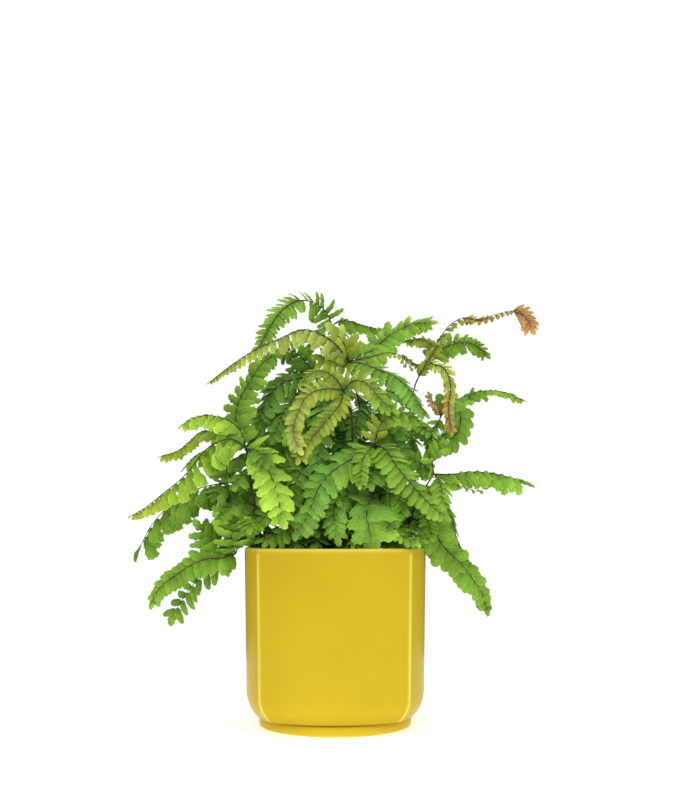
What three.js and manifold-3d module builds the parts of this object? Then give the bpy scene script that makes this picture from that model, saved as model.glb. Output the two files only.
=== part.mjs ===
// A potted maidenhair fern: a glazed square-shouldered pot, its soil, and the fronds
// that stand in the soil. Millimetres, +Z up, the front looks along -Y.
// The origin is the middle of the foot's flat underside.

import * as THREE from "three";
import { mergeVertices } from "three/addons/utils/BufferGeometryUtils.js";
import Module from "manifold-3d";

const wasm = await Module();
wasm.setup();

// ---------------------------------------------------------------- driving dimensions

const POT = {
  halfWidth: 75.6,        // axis to the middle of a face, at the rim
  faceRadius: 133.4,      // each of the four faces bulges on this radius
  height: 149,
  wall: 5,
  taper: 1.4,             // each face draws in by this much down to the shoulder
  shoulder: 30.5,         // height where the upright face turns into the bottom curve
  bottomRadius: 30,
  grooveSquareness: 0.7,  // how square the plan still is where the bottom meets the foot
  groove: 0.6,            // height of the groove above the foot
  footHeight: 9,
  footRadius: 63.8,       // the foot is round
  footBevel: 1.3,
  lipWidth: 2,            // how far the rounding of the rim reaches in from the outside
  lipDrop: 3,             // and down from the top
  floor: 14,              // inside floor above the ground
  stepsPerFace: 6,
};
const SOIL = { edge: 134, crown: 138, gap: 0.4 };
const STALK = { radius: 0.95, sides: 5, depth: 16, holeGap: 0.35, probes: 14 };
const RIB = { halfWidth: 0.9, bare: 5 };
const LEAF = {
  halfThickness: 0.35,
  pitchShare: 0.84,       // distance between leaflets, as a share of their length
  pitchBase: 4.6,
  pitchLeast: 10,
  first: 0.72,            // the first leaflet's length, as a share of the longest one's
  swell: 1.6,             // how fast the next leaflets reach full length
  decline: 1.6,           // how late they shorten again towards the finger's tip
  lean: 0.3,              // leaflets lean towards the finger's tip
  fill: 0.43,             // half of a leaflet's outer width, as a share of its pitch
  lowerCut: 0.16,         // how far its shoulders lie behind its point, as shares of its length
  upperCut: 0.1,
  blunt: 13,              // leaflets shorter than this have a blunt end
  bluntCut: 0.12,
  tipReach: 0.7,          // length and spread of the blade's last leaflet, as shares
  tipSpread: 0.22,
  clearance: 0.45,
};

// ---------------------------------------------------------------- the fronds
// root is where the stalk leaves the soil. stalk is its way up to the fork, which is the
// last point. Each finger starts at the fork, or at a point that its route names.
// length is the longest leaflet, taper is the last leaflet's share of it, droop is how far
// leaflets hang from the blade's plane, in degrees, and face is the way the blade looks,
// with a second direction for its tip where the finger twists.

const FRONDS = [
  {
    name: "frond_crown", root: [14, 2],
    stalk: [[22, -6, 200], [23, -11, 248], [18, -14, 276], [11, -18, 302]],
    fingers: [
      { length: 16, taper: 0.2, droop: 32, face: [0, -0.85, 0.5], faceEnd: [0, -0.3, 0.95],
        route: [[2, -30, 313], [-10, -42, 320], [-25, -52, 323], [-42, -60, 315],
                [-60, -66, 306], [-78, -70, 294], [-97, -72, 279]] },
      { length: 18, taper: 0.35, droop: 12, face: [0.2, -0.8, 0.6], faceEnd: [0.4, -0.75, 0.5],
        route: [[23, -34, 298], [36, -48, 291], [49, -58, 284], [59, -66, 273], [71, -70, 255]] },
      { length: 15, taper: 0.45, droop: 15, face: [0.1, -0.85, 0.5],
        route: [[21, -14, 308], [31, -6, 313], [38, 0, 320], [47, 4, 328], [59, 8, 335], [70, 8, 338],
                [79, 6, 338]] },
      { length: 5, taper: 0.6, droop: 20, face: [0, -0.5, 0.85],
        route: [[29, -26, 305], [44, -28, 308], [55, -26, 305], [61, -26, 297]] },
    ],
  },
  {
    name: "frond_top", root: [2, 18],
    stalk: [[3, 21, 200], [2, 24, 260], [-1, 30, 318], [-3, 32, 340]],
    fingers: [
      { length: 14, taper: 0.4, droop: 8, face: [-0.1, -0.95, 0.3],
        route: [[-9, 24, 351], [-20, 12, 357], [-31, 2, 356], [-42, -8, 348], [-50, -16, 337],
                [-57, -20, 324], [-64, -22, 310]] },
      { length: 13, taper: 0.6, droop: 15, face: [0, -0.85, 0.5],
        route: [[7, 36, 345], [18, 42, 343], [29, 46, 341], [37, 48, 339]] },
    ],
    fan: { azimuth: 100, spread: 60, count: 2, reach: 70, length: 12, rise: 5, fall: -70 },
  },
  {
    name: "frond_left", root: [-46, -22],
    stalk: [[-54, -30, 151], [-59, -38, 167], [-65, -46, 188], [-67, -50, 205], [-70, -56, 228]],
    fingers: [
      { length: 19, taper: 0.6, droop: 10, face: [0.1, -0.85, 0.5],
        route: [[-61, -63, 226], [-54, -69, 218], [-50, -75, 208], [-46, -79, 199],
                [-43, -82, 187], [-40, -83, 174]] },
      { length: 23, taper: 0.25, droop: 40, face: [-0.2, -0.45, 0.85],
        route: [[-80, -60, 235], [-91, -64, 233], [-102, -68, 225], [-110, -70, 214],
                [-120, -70, 203], [-133, -68, 193], [-147, -66, 182], [-159, -64, 175]] },
      { length: 17, taper: 0.35, droop: 42, face: [-0.1, -0.4, 0.9],
        route: [[-75, -54, 243], [-85, -56, 251], [-99, -58, 254], [-112, -60, 252], [-119, -60, 247]] },
      { length: 19, taper: 0.6, droop: 12, face: [-0.35, -0.85, 0.3],
        route: [[-79, -46, 248], [-79, -42, 259], [-77, -38, 268], [-72, -34, 276]] },
      { length: 15, taper: 0.4, droop: 40, face: [-0.1, -0.3, 0.95],
        route: [[-82, -44, 239], [-96, -36, 243], [-109, -30, 243], [-118, -28, 236],
                [-128, -28, 228], [-140, -28, 224]] },
    ],
  },
  {
    name: "frond_left_back", root: [-38, 8],
    stalk: [[-62, 6, 156], [-72, 8, 176], [-81, 8, 192], [-87, 6, 203]],
    fingers: [
      { length: 23, taper: 0.75, droop: 50, face: [-0.2, -0.4, 0.9],
        route: [[-102, 0, 201], [-116, -4, 197], [-130, -6, 190], [-144, -6, 178],
                [-155, -4, 165], [-163, -2, 150]] },
      { length: 15, taper: 0.5, droop: 30, face: [-0.3, -0.4, 0.85],
        route: [[-97, 14, 221], [-109, 20, 230], [-120, 24, 227], [-129, 26, 218]] },
      { length: 18, taper: 0.6, droop: 15, face: [-0.3, -0.9, 0.3],
        route: [[-90, -2, 188], [-94, -8, 174], [-97, -10, 162]] },
      { length: 17, taper: 0.7, droop: 15, face: [0, -0.9, 0.4],
        route: [[-82, -8, 207], [-73, -14, 206], [-65, -18, 198], [-60, -20, 188]] },
    ],
  },
  {
    name: "frond_left_low", root: [-52, -8],
    stalk: [[-62, -11, 156], [-69, -13, 160], [-77, -14.5, 157], [-82, -15, 144]],
    fingers: [
      { length: 20, taper: 0.35, droop: 18, face: [-0.2, -0.75, 0.6],
        route: [[-94, -20, 140], [-107, -24, 139], [-118, -28, 134], [-129, -30, 127],
                [-139, -32, 119], [-145, -32, 112], [-148, -32, 105]] },
      { length: 16, taper: 0.7, droop: 15, face: [-0.3, -0.8, 0.5],
        route: [[-92, -8, 136], [-101, -4, 131], [-111, 2, 124], [-121, 8, 116], [-129, 16, 106],
                [-136, 20, 96], [-140, 22, 88]] },
      { length: 19, taper: 0.6, droop: 12, face: [-0.3, -0.9, 0.3],
        route: [[-84, -22, 151], [-85, -26, 162], [-87, -26, 172], [-91, -24, 182]] },
    ],
  },
  {
    name: "frond_right_low", root: [50, -8],
    stalk: [[64, -14, 163], [72, -16, 181], [82, -18, 188]],
    fingers: [
      { length: 22, taper: 0.45, droop: 14, face: [0.25, -0.85, 0.45],
        route: [[81, -26, 171], [86, -30, 153], [93, -32, 145], [103, -34, 135], [112, -36, 123],
                [120, -36, 110], [123, -34, 99]] },
      { length: 16, taper: 0.5, droop: 20, face: [0.75, -0.5, 0.4],
        route: [[91, -14, 185], [97, -12, 173], [100, -12, 159], [106, -12, 145], [115, -14, 132]] },
      { length: 12, taper: 0.6, droop: 12, face: [0.2, -0.9, 0.4],
        route: [[77, -34, 181], [75, -44, 171], [77, -50, 160]] },
    ],
  },
  {
    name: "frond_right_mid", root: [40, -14],
    stalk: [[55, -20, 159], [65, -22, 180], [74, -24, 198], [81, -26, 209]],
    fingers: [
      { length: 19, taper: 0.8, droop: 42, face: [0.05, -0.45, 0.9],
        route: [[96, -18, 209], [110, -12, 211], [125, -8, 211], [138, -6, 209], [149, -4, 206],
                [155, -3, 204]] },
      { length: 4, taper: 0.8, droop: 20, face: [0, -0.5, 0.85],
        route: [[94, -24, 203], [106, -22, 198], [118, -20, 195], [124, -20, 197]] },
      { length: 13, taper: 0.5, droop: 12, face: [0.1, -0.85, 0.5],
        route: [[84, -40, 204], [85, -48, 197], [86, -52, 189], [87, -54, 181]] },
      { length: 13, taper: 0.6, droop: 12, face: [0.2, -0.8, 0.6],
        route: [[79, -38, 218], [82, -42, 226], [87, -44, 231]] },
    ],
  },
  {
    name: "frond_right_up", root: [40, 6],
    stalk: [[63, 4, 188], [70, 2, 213], [76, 0, 229], [82, -2, 244], [88, -4, 257]],
    fingers: [
      { length: 14, taper: 0.5, droop: 15, face: [0.5, -0.75, 0.4],
        route: [[93, -6, 265], [99, -4, 262], [101, -2, 250], [96, -2, 240], [88, -4, 233],
                [80, -6, 229]] },
      { length: 12, taper: 0.5, droop: 20, face: [0.1, -0.4, 0.9],
        route: [[96, 2, 269], [108, 6, 274], [121, 8, 280], [134, 10, 281], [146, 10, 279],
                [157, 10, 274]] },
      { length: 9, taper: 0.6, droop: 15, face: [0, -0.8, 0.6],
        route: [[81, -14, 245], [73, -18, 246], [67, -20, 250]] },
      { length: 6, taper: 0.7, droop: 15, face: [0, -0.8, 0.6],
        route: [[86, -10, 265], [80, -14, 269], [78, -16, 274]] },
    ],
  },
  {
    name: "frond_right_top", root: [28, 12],
    stalk: [[53, 14, 205], [59, 14, 239], [64, 12, 269], [68, 10, 287], [78, 8, 306]],
    fingers: [
      { length: 11, taper: 0.35, droop: 55, face: [0, -0.3, 0.95],
        route: [[85, 6, 318], [89, 4, 326], [94, 2, 333], [100, 0, 338], [108, -2, 341],
                [119, -4, 339], [131, -6, 342], [142, -8, 345], [151, -8, 346]] },
      { length: 10, taper: 0.8, droop: 5, face: [0, -1, 0.1], from: [149, -8, 345],
        route: [[156, -8, 342], [161, -8, 337], [165, -8, 333]] },
      { length: 14, taper: 0.45, droop: 12, face: [0.1, -0.95, 0.3],
        route: [[87, 14, 315], [96, 18, 320], [105, 20, 323], [115, 22, 323], [123, 24, 320],
                [129, 24, 314]] },
      { length: 7, taper: 0.6, droop: 15, face: [0, -0.9, 0.3],
        route: [[84, -2, 301], [89, -8, 299], [94, -12, 291], [96, -12, 279], [94, -12, 267],
                [96, -12, 246]] },
      { length: 9, taper: 0.7, droop: 15, face: [0, -0.8, 0.6],
        route: [[83, 10, 317], [78, 12, 323], [69, 14, 325], [63, 14, 324]] },
      { length: 4, taper: 0.8, droop: 15, face: [0, -0.8, 0.6],
        route: [[70, 16, 303], [64, 20, 307], [59, 24, 312]] },
    ],
  },
  {
    name: "frond_olive", root: [2, -16],
    stalk: [[12, -24, 204], [14, -40, 244], [12, -50, 263], [7, -58, 274]],
    fingers: [
      { length: 14, taper: 0.6, droop: 10, face: [-0.1, -0.95, 0.3],
        route: [[-3, -68, 274], [-14, -74, 272], [-22, -80, 266], [-26, -84, 257],
                [-30, -86, 247], [-31, -87, 237], [-27, -86, 227]] },
      { length: 14, taper: 0.6, droop: 10, face: [0, -0.95, 0.3],
        route: [[5, -68, 263], [-2, -76, 253], [-11, -80, 242], [-19, -82, 232], [-26, -82, 220]] },
      { length: 13, taper: 0.6, droop: 12, face: [0.1, -0.85, 0.5],
        route: [[15, -62, 281], [24, -68, 279], [31, -72, 272], [37, -74, 264], [45, -74, 258]] },
      { length: 10, taper: 0.6, droop: 12, face: [-0.2, -0.6, 0.75],
        route: [[0, -52, 285], [-10, -54, 290], [-19, -58, 287], [-25, -60, 280]] },
    ],
  },
  {
    name: "frond_centre", root: [24, -20],
    stalk: [[36, -34, 179], [36, -40, 200], [35, -46, 218], [32, -50, 231]],
    fingers: [
      { length: 12, taper: 0.7, droop: 12, face: [0.2, -0.85, 0.5],
        route: [[34, -56, 241], [38, -60, 249], [45, -64, 253], [53, -66, 255], [60, -67, 250]] },
      { length: 15, taper: 0.45, droop: 10, face: [0.15, -0.85, 0.5],
        route: [[40, -62, 227], [48, -72, 214], [56, -80, 203], [64, -84, 194], [72, -86, 185],
                [84, -86, 175]] },
      { length: 11, taper: 0.5, droop: 12, face: [0, -0.9, 0.4],
        route: [[27, -60, 226], [22, -66, 218], [21, -70, 210], [20, -71, 200]] },
      { length: 15, taper: 0.6, droop: 12, face: [-0.1, -0.9, 0.4],
        route: [[18, -58, 222], [5, -66, 214], [-4, -70, 207], [-11, -73, 198], [-16, -74, 187],
                [-20, -74, 176], [-32, -70, 156]] },
    ],
  },
  {
    name: "frond_front_low", root: [20, -40],
    stalk: [[30, -42, 155], [32, -42, 171], [34, -42, 183], [32, -44, 189]],
    fingers: [
      { length: 24, taper: 0.8, droop: 8, face: [-0.5, -0.8, 0.35],
        route: [[26, -54, 181], [25, -60, 175], [26, -64, 168], [27, -66, 164]] },
      { length: 14, taper: 0.6, droop: 10, face: [-0.1, -0.9, 0.4],
        route: [[18, -44, 191], [6, -50, 189], [0, -56, 181], [0, -62, 170], [2, -64, 159]] },
      { length: 9, taper: 0.9, droop: 12, face: [0.1, -0.6, 0.8],
        route: [[39, -56, 174], [47, -62, 163], [57, -64, 157], [67, -64, 155]] },
      { length: 4, taper: 0.8, droop: 12, face: [0, -0.3, 0.95],
        route: [[42, -48, 177], [50, -52, 167], [60, -54, 164], [73, -54, 160]] },
    ],
  },
  {
    name: "frond_front_left", root: [-20, -38],
    stalk: [[-28, -44, 151], [-25, -46, 163], [-24, -48, 171]],
    fingers: [
      { length: 14, taper: 0.6, droop: 12, face: [-0.1, -0.7, 0.7],
        route: [[-31, -56, 166], [-40, -60, 161], [-48, -60, 157], [-56, -58, 155]] },
      { length: 13, taper: 0.6, droop: 12, face: [-0.1, -0.85, 0.5],
        route: [[-34, -50, 179], [-43, -54, 181], [-53, -56, 176], [-61, -56, 168]] },
    ],
  },
  {
    name: "frond_inner", root: [-12, 0],
    stalk: [[-11, -3, 213], [-13, -2, 247], [-15, 0, 276], [-16, 2, 291]],
    fingers: [
      { length: 13, taper: 0.5, droop: 10, face: [-0.3, -0.8, 0.5],
        route: [[-25, -2, 304], [-33, -6, 311], [-42, -12, 312], [-51, -18, 307], [-59, -24, 299],
                [-64, -28, 291], [-68, -30, 282]] },
      { length: 17, taper: 0.7, droop: 15, face: [-0.2, -0.8, 0.6],
        route: [[-26, 8, 297], [-38, 8, 296], [-50, 4, 287], [-58, -2, 273], [-62, -6, 258]] },
      { length: 17, taper: 0.7, droop: 15, face: [0, -0.8, 0.6],
        route: [[-27, -8, 281], [-36, -16, 270], [-44, -22, 256], [-50, -26, 240]] },
      { length: 16, taper: 0.6, droop: 12, face: [0, -0.9, 0.4],
        route: [[-12, -22, 272], [-10, -36, 252], [-13, -44, 231]] },
      { length: 12, taper: 0.6, droop: 15, face: [0, -0.4, 0.9],
        route: [[-6, 12, 297], [4, 20, 295], [12, 24, 285]] },
    ],
  },
  {
    name: "frond_inner_right", root: [10, 18],
    stalk: [[9, 14, 205], [14, 8, 239], [21, 2, 260], [26, -4, 270]],
    fingers: [
      { length: 14, taper: 0.6, droop: 15, face: [0.2, -0.8, 0.6],
        route: [[35, -14, 271], [44, -22, 265], [51, -28, 255], [54, -32, 243]] },
      { length: 14, taper: 0.6, droop: 12, face: [0, -0.85, 0.5],
        route: [[21, -18, 262], [17, -26, 250], [16, -30, 238]] },
      { length: 13, taper: 0.6, droop: 15, face: [0.3, -0.6, 0.7],
        route: [[38, 6, 279], [50, 14, 280], [61, 18, 275], [69, 18, 265]] },
      { length: 18, taper: 0.7, droop: 15, face: [0.1, -0.9, 0.4], from: [14, 8, 239],
        route: [[25, 2, 233], [35, -2, 220], [40, -4, 203]] },
      { length: 18, taper: 0.7, droop: 15, face: [0.1, -0.9, 0.4], from: [9, 14, 205],
        route: [[20, 10, 201], [30, 6, 190], [35, 2, 175]] },
    ],
  },
  {
    name: "frond_inner_low", root: [-14, -16],
    stalk: [[-14, -24, 171], [-19, -32, 196], [-22, -38, 216]],
    fingers: [
      { length: 13, taper: 0.6, droop: 12, face: [-0.2, -0.85, 0.4],
        route: [[-27, -48, 211], [-31, -54, 198], [-34, -56, 185]] },
      { length: 13, taper: 0.6, droop: 12, face: [0.1, -0.9, 0.3],
        route: [[-12, -46, 207], [-7, -48, 194], [-5, -48, 181]] },
      { length: 14, taper: 0.6, droop: 12, face: [-0.1, -0.8, 0.6],
        route: [[-25, -42, 227], [-30, -42, 235], [-36, -40, 238]] },
      { length: 16, taper: 0.7, droop: 12, face: [0, -0.95, 0.3], from: [-19, -32, 196],
        route: [[-19, -38, 186], [-19, -42, 175], [-19, -43, 163]] },
    ],
  },
  {
    name: "frond_back_left", root: [-22, 32],
    stalk: [[-34, 38, 200], [-42, 42, 240], [-47, 44, 262]],
    fan: { azimuth: 142, spread: 95, count: 4, reach: 80, length: 15, rise: 25, fall: -75 },
  },
  {
    name: "frond_back", root: [0, 38],
    stalk: [[-2, 46, 215], [-4, 51, 260], [-5, 54, 284]],
    fan: { azimuth: 90, spread: 100, count: 4, reach: 78, length: 14, rise: 25, fall: -75 },
  },
  {
    name: "frond_back_right", root: [24, 32],
    stalk: [[36, 38, 200], [46, 40, 236], [51, 42, 258]],
    fan: { azimuth: 50, spread: 95, count: 4, reach: 66, length: 16, rise: 20, fall: -75 },
  },
  {
    name: "frond_back_low_left", root: [-38, 26],
    stalk: [[-52, 40, 164], [-58, 46, 186], [-61, 50, 202]],
    fan: { azimuth: 140, spread: 90, count: 3, reach: 66, length: 16, rise: 15, fall: -80 },
  },
  {
    name: "frond_back_low", root: [-8, 48],
    stalk: [[-8, 58, 164], [-8, 64, 188], [-8, 68, 204]],
    fan: { azimuth: 98, spread: 90, count: 3, reach: 72, length: 17, rise: 10, fall: -80 },
  },
  {
    name: "frond_back_low_right", root: [38, 28],
    stalk: [[52, 40, 164], [58, 46, 186], [61, 50, 202]],
    fan: { azimuth: 50, spread: 85, count: 3, reach: 68, length: 16, rise: 12, fall: -80 },
  },
];

// ---------------------------------------------------------------- small helpers

const radians = THREE.MathUtils.degToRad;
const vector = (point) => new THREE.Vector3(...point);

function bodyFrom(geometry) {
  const bare = geometry.clone();
  bare.deleteAttribute("normal");
  bare.deleteAttribute("uv");
  const merged = mergeVertices(bare, 1e-4);
  return new wasm.Manifold(new wasm.Mesh({
    numProp: 3,
    vertProperties: new Float32Array(merged.attributes.position.array),
    triVerts: new Uint32Array(merged.index.array),
  }));
}

function geometryFrom(body) {
  const mesh = body.getMesh();
  const geometry = new THREE.BufferGeometry();
  geometry.setAttribute("position", new THREE.BufferAttribute(new Float32Array(mesh.vertProperties), 3));
  geometry.setIndex(new THREE.BufferAttribute(new Uint32Array(mesh.triVerts), 1));
  geometry.computeVertexNormals();
  return geometry;
}

// ---------------------------------------------------------------- pot and soil

// Reach of the pot's plan at an angle, as a share of the half width: four curved faces
// that meet in upright ridges on the diagonals.
function planReach(angle) {
  const quarter = Math.PI / 2;
  const fromFace = angle - Math.round(angle / quarter) * quarter;
  const centre = POT.faceRadius - POT.halfWidth;
  const across = centre * Math.cos(fromFace);
  const reach = -across + Math.sqrt(across ** 2 + POT.faceRadius ** 2 - centre ** 2);
  return reach / POT.halfWidth;
}

// A profile of [half width, height] points, turned round and then pressed to the plan.
// A third value is how square the ring becomes: 1 is the full plan and 0 leaves it round.
function squareTurning(profile) {
  const points = profile.map(([reach, height]) => new THREE.Vector2(reach, height));
  const geometry = new THREE.LatheGeometry(points, 4 * POT.stepsPerFace);
  geometry.rotateX(Math.PI / 2);
  const position = geometry.attributes.position;
  for (let i = 0; i < position.count; i++) {
    const squareness = profile[i % profile.length][2] ?? 1;
    const full = planReach(Math.atan2(position.getY(i), position.getX(i)));
    const share = 1 + squareness * (full - 1);
    position.setXY(i, position.getX(i) * share, position.getY(i) * share);
  }
  return geometry;
}

// Points down the curve between the upright face and the foot or floor.
function bottomCurve(halfWidth, radius, top, lowest, steps) {
  const points = [];
  const turn = Math.asin((top - lowest) / radius);
  for (let i = 0; i <= steps; i++) {
    const angle = turn * (1 - i / steps);
    points.push([halfWidth - radius * (1 - Math.cos(angle)), top - radius * Math.sin(angle)]);
  }
  return points;
}

// Points around an edge, from its upright side to its flat side, on a quarter ellipse.
function roundedEdge(reach, height, width, drop, steps) {
  const points = [];
  for (let i = 0; i <= steps; i++) {
    const angle = (Math.PI / 2) * (i / steps);
    points.push([reach - width * (1 - Math.cos(angle)), height - drop * (1 - Math.sin(angle))]);
  }
  return points;
}

const shoulderHalfWidth = POT.halfWidth - POT.taper;
const innerRadius = POT.bottomRadius - POT.wall;

function innerProfile(gap, floor) {
  return bottomCurve(shoulderHalfWidth - POT.wall - gap, innerRadius, POT.shoulder + 6, floor, 3);
}

// The bottom curve draws the plan towards the round foot.
function bottomSquareness(height) {
  const down = (POT.shoulder - height) / (POT.shoulder - POT.footHeight - POT.groove);
  return 1 - (1 - POT.grooveSquareness) * down ** 2;
}

function potGeometry() {
  const { halfWidth, height, wall, footHeight, footRadius, footBevel, lipWidth, lipDrop, floor } = POT;
  const foot = [
    ...roundedEdge(footRadius, 0, footBevel, -footBevel, 1).reverse(),
    ...roundedEdge(footRadius, footHeight, footBevel / 2, footBevel / 2, 1),
  ];
  const bottom = bottomCurve(shoulderHalfWidth, POT.bottomRadius, POT.shoulder, footHeight + POT.groove, 5);
  const lip = [
    ...roundedEdge(halfWidth, height, lipWidth, lipDrop, 2),
    ...roundedEdge(halfWidth - wall, height, -lipWidth, lipDrop, 2).reverse(),
  ];
  return squareTurning([
    [0, 0],
    ...foot.map(([reach, level]) => [reach, level, 0]),
    ...bottom.map(([reach, level]) => [reach, level, bottomSquareness(level)]),
    ...lip,
    ...innerProfile(0, floor).reverse(),
    [0, floor],
  ]);
}

function soilBody(fronds) {
  const { halfWidth, height, wall, floor } = POT;
  const profile = [
    [0, floor + SOIL.gap],
    ...innerProfile(SOIL.gap, floor + SOIL.gap),
    [halfWidth - wall - SOIL.gap - 0.2, SOIL.edge],
    [halfWidth * 0.55, SOIL.edge + 0.7 * (SOIL.crown - SOIL.edge)],
    [0, SOIL.crown],
  ];
  let body = bodyFrom(squareTurning(profile));
  const { radius, holeGap } = STALK;
  for (const frond of fronds) {
    body = body.subtract(uprightPeg(frond, radius + holeGap, stalkFoot() - holeGap, height));
  }
  return body;
}

// ---------------------------------------------------------------- frond bones

const stalkFoot = () => SOIL.edge - STALK.depth;
const stalkExit = () => SOIL.crown + 1;

// The stalk's way above the soil, from where its upright peg ends.
function stalkCurve(frond) {
  const [x, y] = frond.root;
  const route = [[x, y, stalkExit()], ...frond.stalk];
  return new THREE.CatmullRomCurve3(route.map(vector), false, "centripetal");
}

// An upright prism around a frond's root, as tall as asked, with the stalk's sides.
function uprightPeg(frond, radius, bottom, top) {
  const peg = new THREE.CylinderGeometry(radius, radius, top - bottom, STALK.sides);
  peg.rotateX(Math.PI / 2);
  peg.translate(frond.root[0], frond.root[1], (bottom + top) / 2);
  return bodyFrom(peg);
}

function stalkBody(frond) {
  const corners = [];
  for (let i = 0; i < STALK.sides; i++) {
    const angle = 2 * Math.PI * i / STALK.sides;
    corners.push(new THREE.Vector2(STALK.radius * Math.cos(angle), STALK.radius * Math.sin(angle)));
  }
  const steps = frond.stalk.length + 2;
  const settings = { steps, bevelEnabled: false, extrudePath: stalkCurve(frond) };
  const bent = bodyFrom(new THREE.ExtrudeGeometry(new THREE.Shape(corners), settings));
  return bent.add(uprightPeg(frond, STALK.radius, stalkFoot(), stalkExit() + STALK.radius));
}

// Fingers that fan out from the fork and arch over, alike on both sides of the middle one.
function fanFingers(fork, fan) {
  const steps = 5;
  const fingers = [];
  for (let k = 0; k < fan.count; k++) {
    const offset = fan.count > 1 ? k / (fan.count - 1) - 0.5 : 0;
    const azimuth = radians(fan.azimuth + offset * fan.spread);
    const reach = fan.reach * (1 - 0.35 * Math.abs(offset)) * (k % 2 ? 0.92 : 1);
    const point = vector(fork);
    const route = [];
    for (let i = 0; i < steps; i++) {
      const tilt = radians(fan.rise + (fan.fall - fan.rise) * (i + 0.5) / steps);
      const step = reach / steps;
      point.x += step * Math.cos(tilt) * Math.cos(azimuth);
      point.y += step * Math.cos(tilt) * Math.sin(azimuth);
      point.z += step * Math.sin(tilt);
      route.push(point.toArray());
    }
    const outward = [0.7 * Math.cos(azimuth), 0.7 * Math.sin(azimuth), 0.7];
    fingers.push({ length: fan.length, taper: 0.5, droop: 18, face: outward, route });
  }
  return fingers;
}

function fingersOf(frond) {
  const fork = frond.stalk[frond.stalk.length - 1];
  const fanned = frond.fan ? fanFingers(fork, frond.fan) : [];
  return [...(frond.fingers ?? []), ...fanned].map((finger) => (
    { ...finger, frond: frond.name, route: [finger.from ?? fork, ...finger.route] }));
}

// Stations along a finger's rib, each with its place and the blade's own directions.
function ribStations(finger) {
  const curve = new THREE.CatmullRomCurve3(finger.route.map(vector), false, "centripetal");
  const whole = curve.getLength();
  const bare = Math.min(RIB.bare, 0.2 * whole);
  const pitch = Math.max(LEAF.pitchLeast, LEAF.pitchBase + LEAF.pitchShare * finger.length);
  const pairs = Math.max(2, Math.round((whole - bare) / pitch));
  const shares = [0];
  for (let i = 0; i <= pairs; i++) {
    shares.push(Math.min(1, (bare + (whole - bare) * i / pairs) / whole));
  }
  const face = vector(finger.face);
  const faceEnd = finger.faceEnd ? vector(finger.faceEnd) : face;
  return shares.map((share) => {
    const point = curve.getPointAt(share);
    const forward = curve.getTangentAt(share);
    const looking = face.clone().lerp(faceEnd, share);
    const side = looking.clone().cross(forward).normalize();
    const normal = forward.clone().cross(side).normalize();
    return { share, point, forward, side, normal };
  });
}

// ---------------------------------------------------------------- leaflets

// Leaflets grow quickly from the fork and then taper towards the finger's tip.
function leafletLength(finger, share) {
  const start = Math.min(1, LEAF.first + LEAF.swell * share);
  return finger.length * start * (1 - (1 - finger.taper) * share ** LEAF.decline);
}

// The middle line of one leaflet: where it leaves the rib and where it ends.
function leafletAxis(finger, stations, index, hand, droop, stretch) {
  const near = stations[index];
  const far = stations[index + 1];
  const root = near.point.clone().lerp(far.point, 0.5);
  const out = near.side.clone().add(far.side).multiplyScalar(0.5 * hand * Math.cos(droop));
  out.addScaledVector(near.normal, -Math.sin(droop));
  out.addScaledVector(near.forward, LEAF.lean).normalize();
  const share = (near.share + far.share) / 2;
  const tip = root.clone().addScaledVector(out, stretch * leafletLength(finger, share));
  return { root, tip, out };
}

// The outer corners of a leaflet: a point and two shoulders, or two for a small blunt one.
// Its width follows the distance to its neighbours' tips, so that leaflets on the inside
// of a bend stay clear of each other.
function leafletCorners(finger, stations, index, hand, droopAngle, stretch) {
  const droop = radians(droopAngle);
  const axis = leafletAxis(finger, stations, index, hand, droop, stretch);
  const before = leafletAxis(finger, stations, Math.max(1, index - 1), hand, droop, stretch);
  const last = stations.length - 2;
  const after = leafletAxis(finger, stations, Math.min(last, index + 1), hand, droop, stretch);
  const count = Math.min(last, index + 1) - Math.max(1, index - 1);
  const along = after.tip.clone().sub(before.tip).divideScalar(count);
  const reach = axis.tip.distanceTo(axis.root);
  const normal = stations[index].normal.clone().multiplyScalar(Math.cos(droop));
  normal.addScaledVector(stations[index].side, hand * Math.sin(droop)).normalize();
  const corner = (sideways, inward) => ({
    point: axis.tip.clone().addScaledVector(along, sideways).addScaledVector(axis.out, -inward * reach),
    normal,
  });
  if (finger.length < LEAF.blunt) return [corner(-LEAF.fill, LEAF.bluntCut), corner(LEAF.fill, 0)];
  return [corner(-LEAF.fill, LEAF.lowerCut), corner(0, 0), corner(LEAF.fill, LEAF.upperCut)];
}

// Triangles of a leaflet between its near rib edge, its outer corners and its far rib edge.
function leafletFaces(near, corners, far) {
  if (corners.length === 2) return [[near, ...corners], [near, corners[1], far]];
  return [[near, corners[0], corners[1]], [near, corners[1], far], [corners[1], corners[2], far]];
}

function ribEdge(station, hand) {
  const point = station.point.clone().addScaledVector(station.side, hand * RIB.halfWidth);
  return { point, normal: station.normal };
}

// ---------------------------------------------------------------- thin solids

// A closed slab from a loop of points, each with its own normal. Both faces are split into
// the same triangles, so that a waved slab keeps its thickness.
function slabBody(loop, faces, halfThickness) {
  const count = loop.length;
  const positions = [];
  for (const lift of [halfThickness, -halfThickness]) {
    for (const { point, normal } of loop) {
      positions.push(...point.clone().addScaledVector(normal, lift));
    }
  }
  const index = [];
  for (const [a, b, c] of faces) {
    index.push(a, b, c, count + a, count + c, count + b);
  }
  for (let i = 0; i < count; i++) {
    const j = (i + 1) % count;
    index.push(count + i, count + j, j, count + i, j, i);
  }
  return new wasm.Manifold(new wasm.Mesh({
    numProp: 3,
    vertProperties: new Float32Array(positions),
    triVerts: new Uint32Array(index),
  }));
}

function boundsOf(loop, margin) {
  return new THREE.Box3().setFromPoints(loop.map(({ point }) => point)).expandByScalar(margin);
}

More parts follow.
